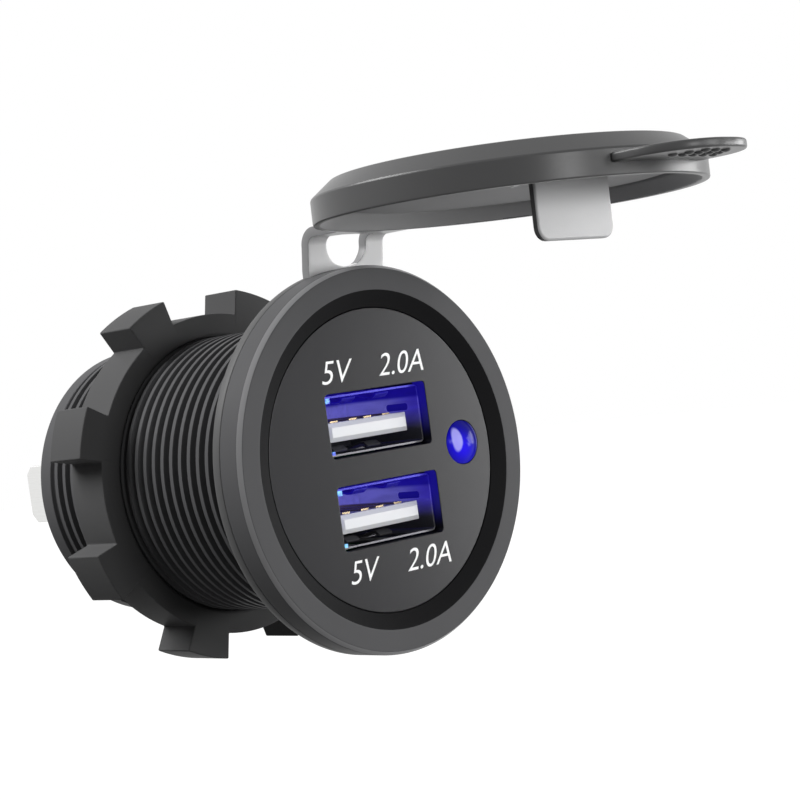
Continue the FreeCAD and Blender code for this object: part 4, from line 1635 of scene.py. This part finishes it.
        # Painted shade: the strap's sides take a darker copy of its finish.
        inlay(piece, PAINTED_SHADE_STRAP_SIDE, lambda _, line: abs(line.x) > 0.35)
        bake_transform(piece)

    def path_length(self) -> float:
        """Return the strap's length along its middle."""
        return (self.strap_bend - self.strap_foot + self.strap_radius * QUARTER
                + self.strap_reach)

    def laid_flat(self, place: Vector) -> Vector:
        """Spread a point of the unit grid over the strap, laid flat.

        Args:
            place: its place on the grid, from -0.5 to 0.5 each way.

        Returns:
            The place in metres, across and along the strap.
        """
        along = (place.y + 0.5) * self.path_length()
        step, share = 2.0 / self.strap_grid[0], place.x * 2.0
        if abs(share) < step / 2:
            return metres((0.0, along, 0.0))
        inner = max(self.gap(along), 0.25)
        part = (abs(share) - step) / (1.0 - step)
        across = math.copysign(inner + (self.strap_half_width - inner) * part, share)
        return metres((across, along, 0.0))

    def gap(self, along: float) -> float:
        """Return the half-width of the strap's opening at a place along it.

        Args:
            along: the place in millimetres.

        Returns:
            The half-width, which is zero below and above the opening.
        """
        up, down = along - self.gap_low, self.path_length() - self.gap_high - along
        if min(up, down) <= 0.0:
            return 0.0
        rise = math.sin(min(up / self.gap_rise, 1.0) * QUARTER)
        width = self.gap_narrow + (self.gap_wide - self.gap_narrow) * rise
        width *= math.sqrt(1.0 - (1.0 - min(up / self.gap_foot, 1.0)) ** 2)
        top = min(down / self.gap_corner, 1.0)
        width -= self.gap_corner * (1.0 - math.sqrt(1.0 - (1.0 - top) ** 2))
        return max(self.gap_least, width)

    def on_path(self, x: float, along: float, off: float) -> Point:
        """Return the place of a point of the flat strap once it is bent.

        Args:
            x: its place across.
            along: its place along the strap's middle.
            off: its place through the thickness.

        Returns:
            The place in millimetres.
        """
        rise, radius = self.strap_bend - self.strap_foot, self.strap_radius
        straight = self.ring_radius - self.strap_foot
        y_bend = self.ring_front / 2 - self.strap_lean * (rise - straight)
        if along < rise:
            back = self.strap_lean * max(along - straight, 0.0)
            return (x, self.ring_front / 2 - back + off, self.strap_foot + along)
        turn = (along - rise) / radius
        if turn < QUARTER:
            reach = radius + off
            return (x, y_bend - radius + reach * math.cos(turn),
                    self.strap_bend + reach * math.sin(turn))
        rest = along - rise - radius * QUARTER
        return (x, y_bend - radius - rest, self.strap_bend + radius + off)


@dataclass
class Insides:
    """The sealed circuit, whose solids keep their own meshes."""

    finishes: tuple[tuple[str, Finish], ...] = (
        ("upper_contacts", GOLD), ("lower_contacts", GOLD), ("lamp_leads", TIN),
        ("front_board", MASK), ("power_board", MASK), ("board_pins", GOLD),
        ("input_capacitor", CAN), ("output_capacitor", CAN), ("inductor", FERRITE),
        ("converter_chip", RESIN), ("output_diode", RESIN),
    )

    def build(self, nodes: dict[str, Piece]) -> None:
        """Give each inner solid its finish.

        Args:
            nodes: the solids by name.
        """
        for name, finish in self.finishes:
            slots = nodes[name].material_slots
            if not slots:
                nodes[name].data.materials.append(finish.material())
            for slot in slots:
                slot.material = finish.material()
            LOG.info("%s dressed", name)


@dataclass
class Studio:
    """Camera, lamps, floor and surroundings."""

    distance: float = 203.04
    azimuth: float = -43.154
    elevation: float = 2.663
    roll: float = -7.731
    focal_pixels: float = 2083.0
    centre: Pair = (362.4, 461.5)
    frame: float = 800.0
    sensor: float = 36.0
    floor_level: float = -220.0
    floor_size: float = 8.0
    ambient: float = 0.04
    lamps: tuple[tuple[str, Point, Pair, float], ...] = (
        ("front_key", (135.0, -425.0, 40.0), (170.0, 220.0), 0.92),
        ("left_back", (-180.0, 150.0, 222.0), (190.0, 190.0), 1.62),
        ("right_low", (430.0, -165.0, 25.0), (160.0, 160.0), 0.75),
        ("lid_gleam", (-95.0, -400.0, 45.0), (110.0, 80.0), 0.48),
        ("face_gleam", (268.0, -200.0, -10.0), (60.0, 120.0), 0.30),
    )

    def build(self) -> None:
        """Set up the whole studio."""
        self.camera()
        for name, place, size, power in self.lamps:
            self.lamp(name, place, size, power)
        self.floor()
        self.world()
        bpy.context.scene.view_settings.view_transform = "Standard"

    def camera(self) -> None:
        """Place the camera at the photograph's viewing angle."""
        a, e, r = (math.radians(v) for v in (self.azimuth, self.elevation, self.roll))
        back = Vector((math.sin(a) * math.cos(e), -math.cos(a) * math.cos(e), math.sin(e)))
        right = (-back).cross(Vector((0, 0, 1))).normalized()
        up = right.cross(-back)
        turned = math.cos(r) * right + math.sin(r) * up
        upright = -math.sin(r) * right + math.cos(r) * up
        data = bpy.data.cameras.new("camera")
        data.sensor_width = self.sensor
        data.lens = self.sensor * self.focal_pixels / self.frame
        data.shift_x = 0.5 - self.centre[0] / self.frame
        data.shift_y = self.centre[1] / self.frame - 0.5
        data.clip_start, data.clip_end = 0.005, 20.0
        camera = bpy.data.objects.new("camera", data)
        bpy.context.scene.collection.objects.link(camera)
        matrix = Matrix((turned, upright, back)).transposed().to_4x4()
        matrix.translation = back * self.distance * MM
        camera.matrix_world = matrix
        bpy.context.scene.camera = camera

    def lamp(self, name: str, place: Point, size: Pair,
             power: float) -> None:
        """Hang one soft rectangular lamp that faces the socket.

        Args:
            name: its name.
            place: where it hangs, in millimetres.
            size: its width and height in millimetres.
            power: its power in watts.
        """
        data = bpy.data.lights.new(name, "AREA")
        data.shape = "RECTANGLE"
        data.size, data.size_y = size[0] * MM, size[1] * MM
        data.energy = power
        lamp = bpy.data.objects.new(name, data)
        bpy.context.scene.collection.objects.link(lamp)
        lamp.location = metres(place)
        lamp.rotation_euler = (-metres(place)).to_track_quat("-Z", "Y").to_euler()

    def floor(self) -> None:
        """Lay a wide dull floor that shows white to the camera and in reflections."""
        clear_selection()
        bpy.ops.mesh.primitive_plane_add(size=self.floor_size,
                                         location=(0, 0, self.floor_level * MM))
        floor = settle(named("floor"))
        material, board, shader = new_material("pale_floor")
        board.fill(shader, {
            "Base Color": (0.12, 0.12, 0.12), "Roughness": 0.9,
            "Emission Color": (1.0, 1.0, 1.0), "Emission Strength": board.seen(),
        })
        floor.data.materials.append(material)

    def world(self) -> None:
        """Make the surroundings white to the eye and dim as a light."""
        world = bpy.data.worlds.new("studio")
        bpy.context.scene.world = world
        world.use_nodes = True
        board = Board(world.node_tree)
        seen = board.maths("MULTIPLY", board.seen(), 1.0 - self.ambient)
        light = board.add("ShaderNodeBackground", {
            "Color": (1.0, 1.0, 1.0), "Strength": board.maths("ADD", seen, self.ambient)})
        board.add("ShaderNodeOutputWorld", {"Surface": light.outputs[0]})


def main() -> None:
    """Load the solids, and build every sub-assembly and the studio."""
    logging.basicConfig(level=logging.INFO, format="%(name)s: %(message)s")
    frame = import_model()
    Studio().build()
    Housing().build()
    RingNut().build()
    FacePlate().build()
    for prefix, level in zip(("upper", "lower"), PORT_LEVELS):
        ChargePort(prefix, level).build()
    SoftCap().build()
    Insides().build(frame["nodes"])
    clear_selection()


if __name__ == "__main__":
    main()
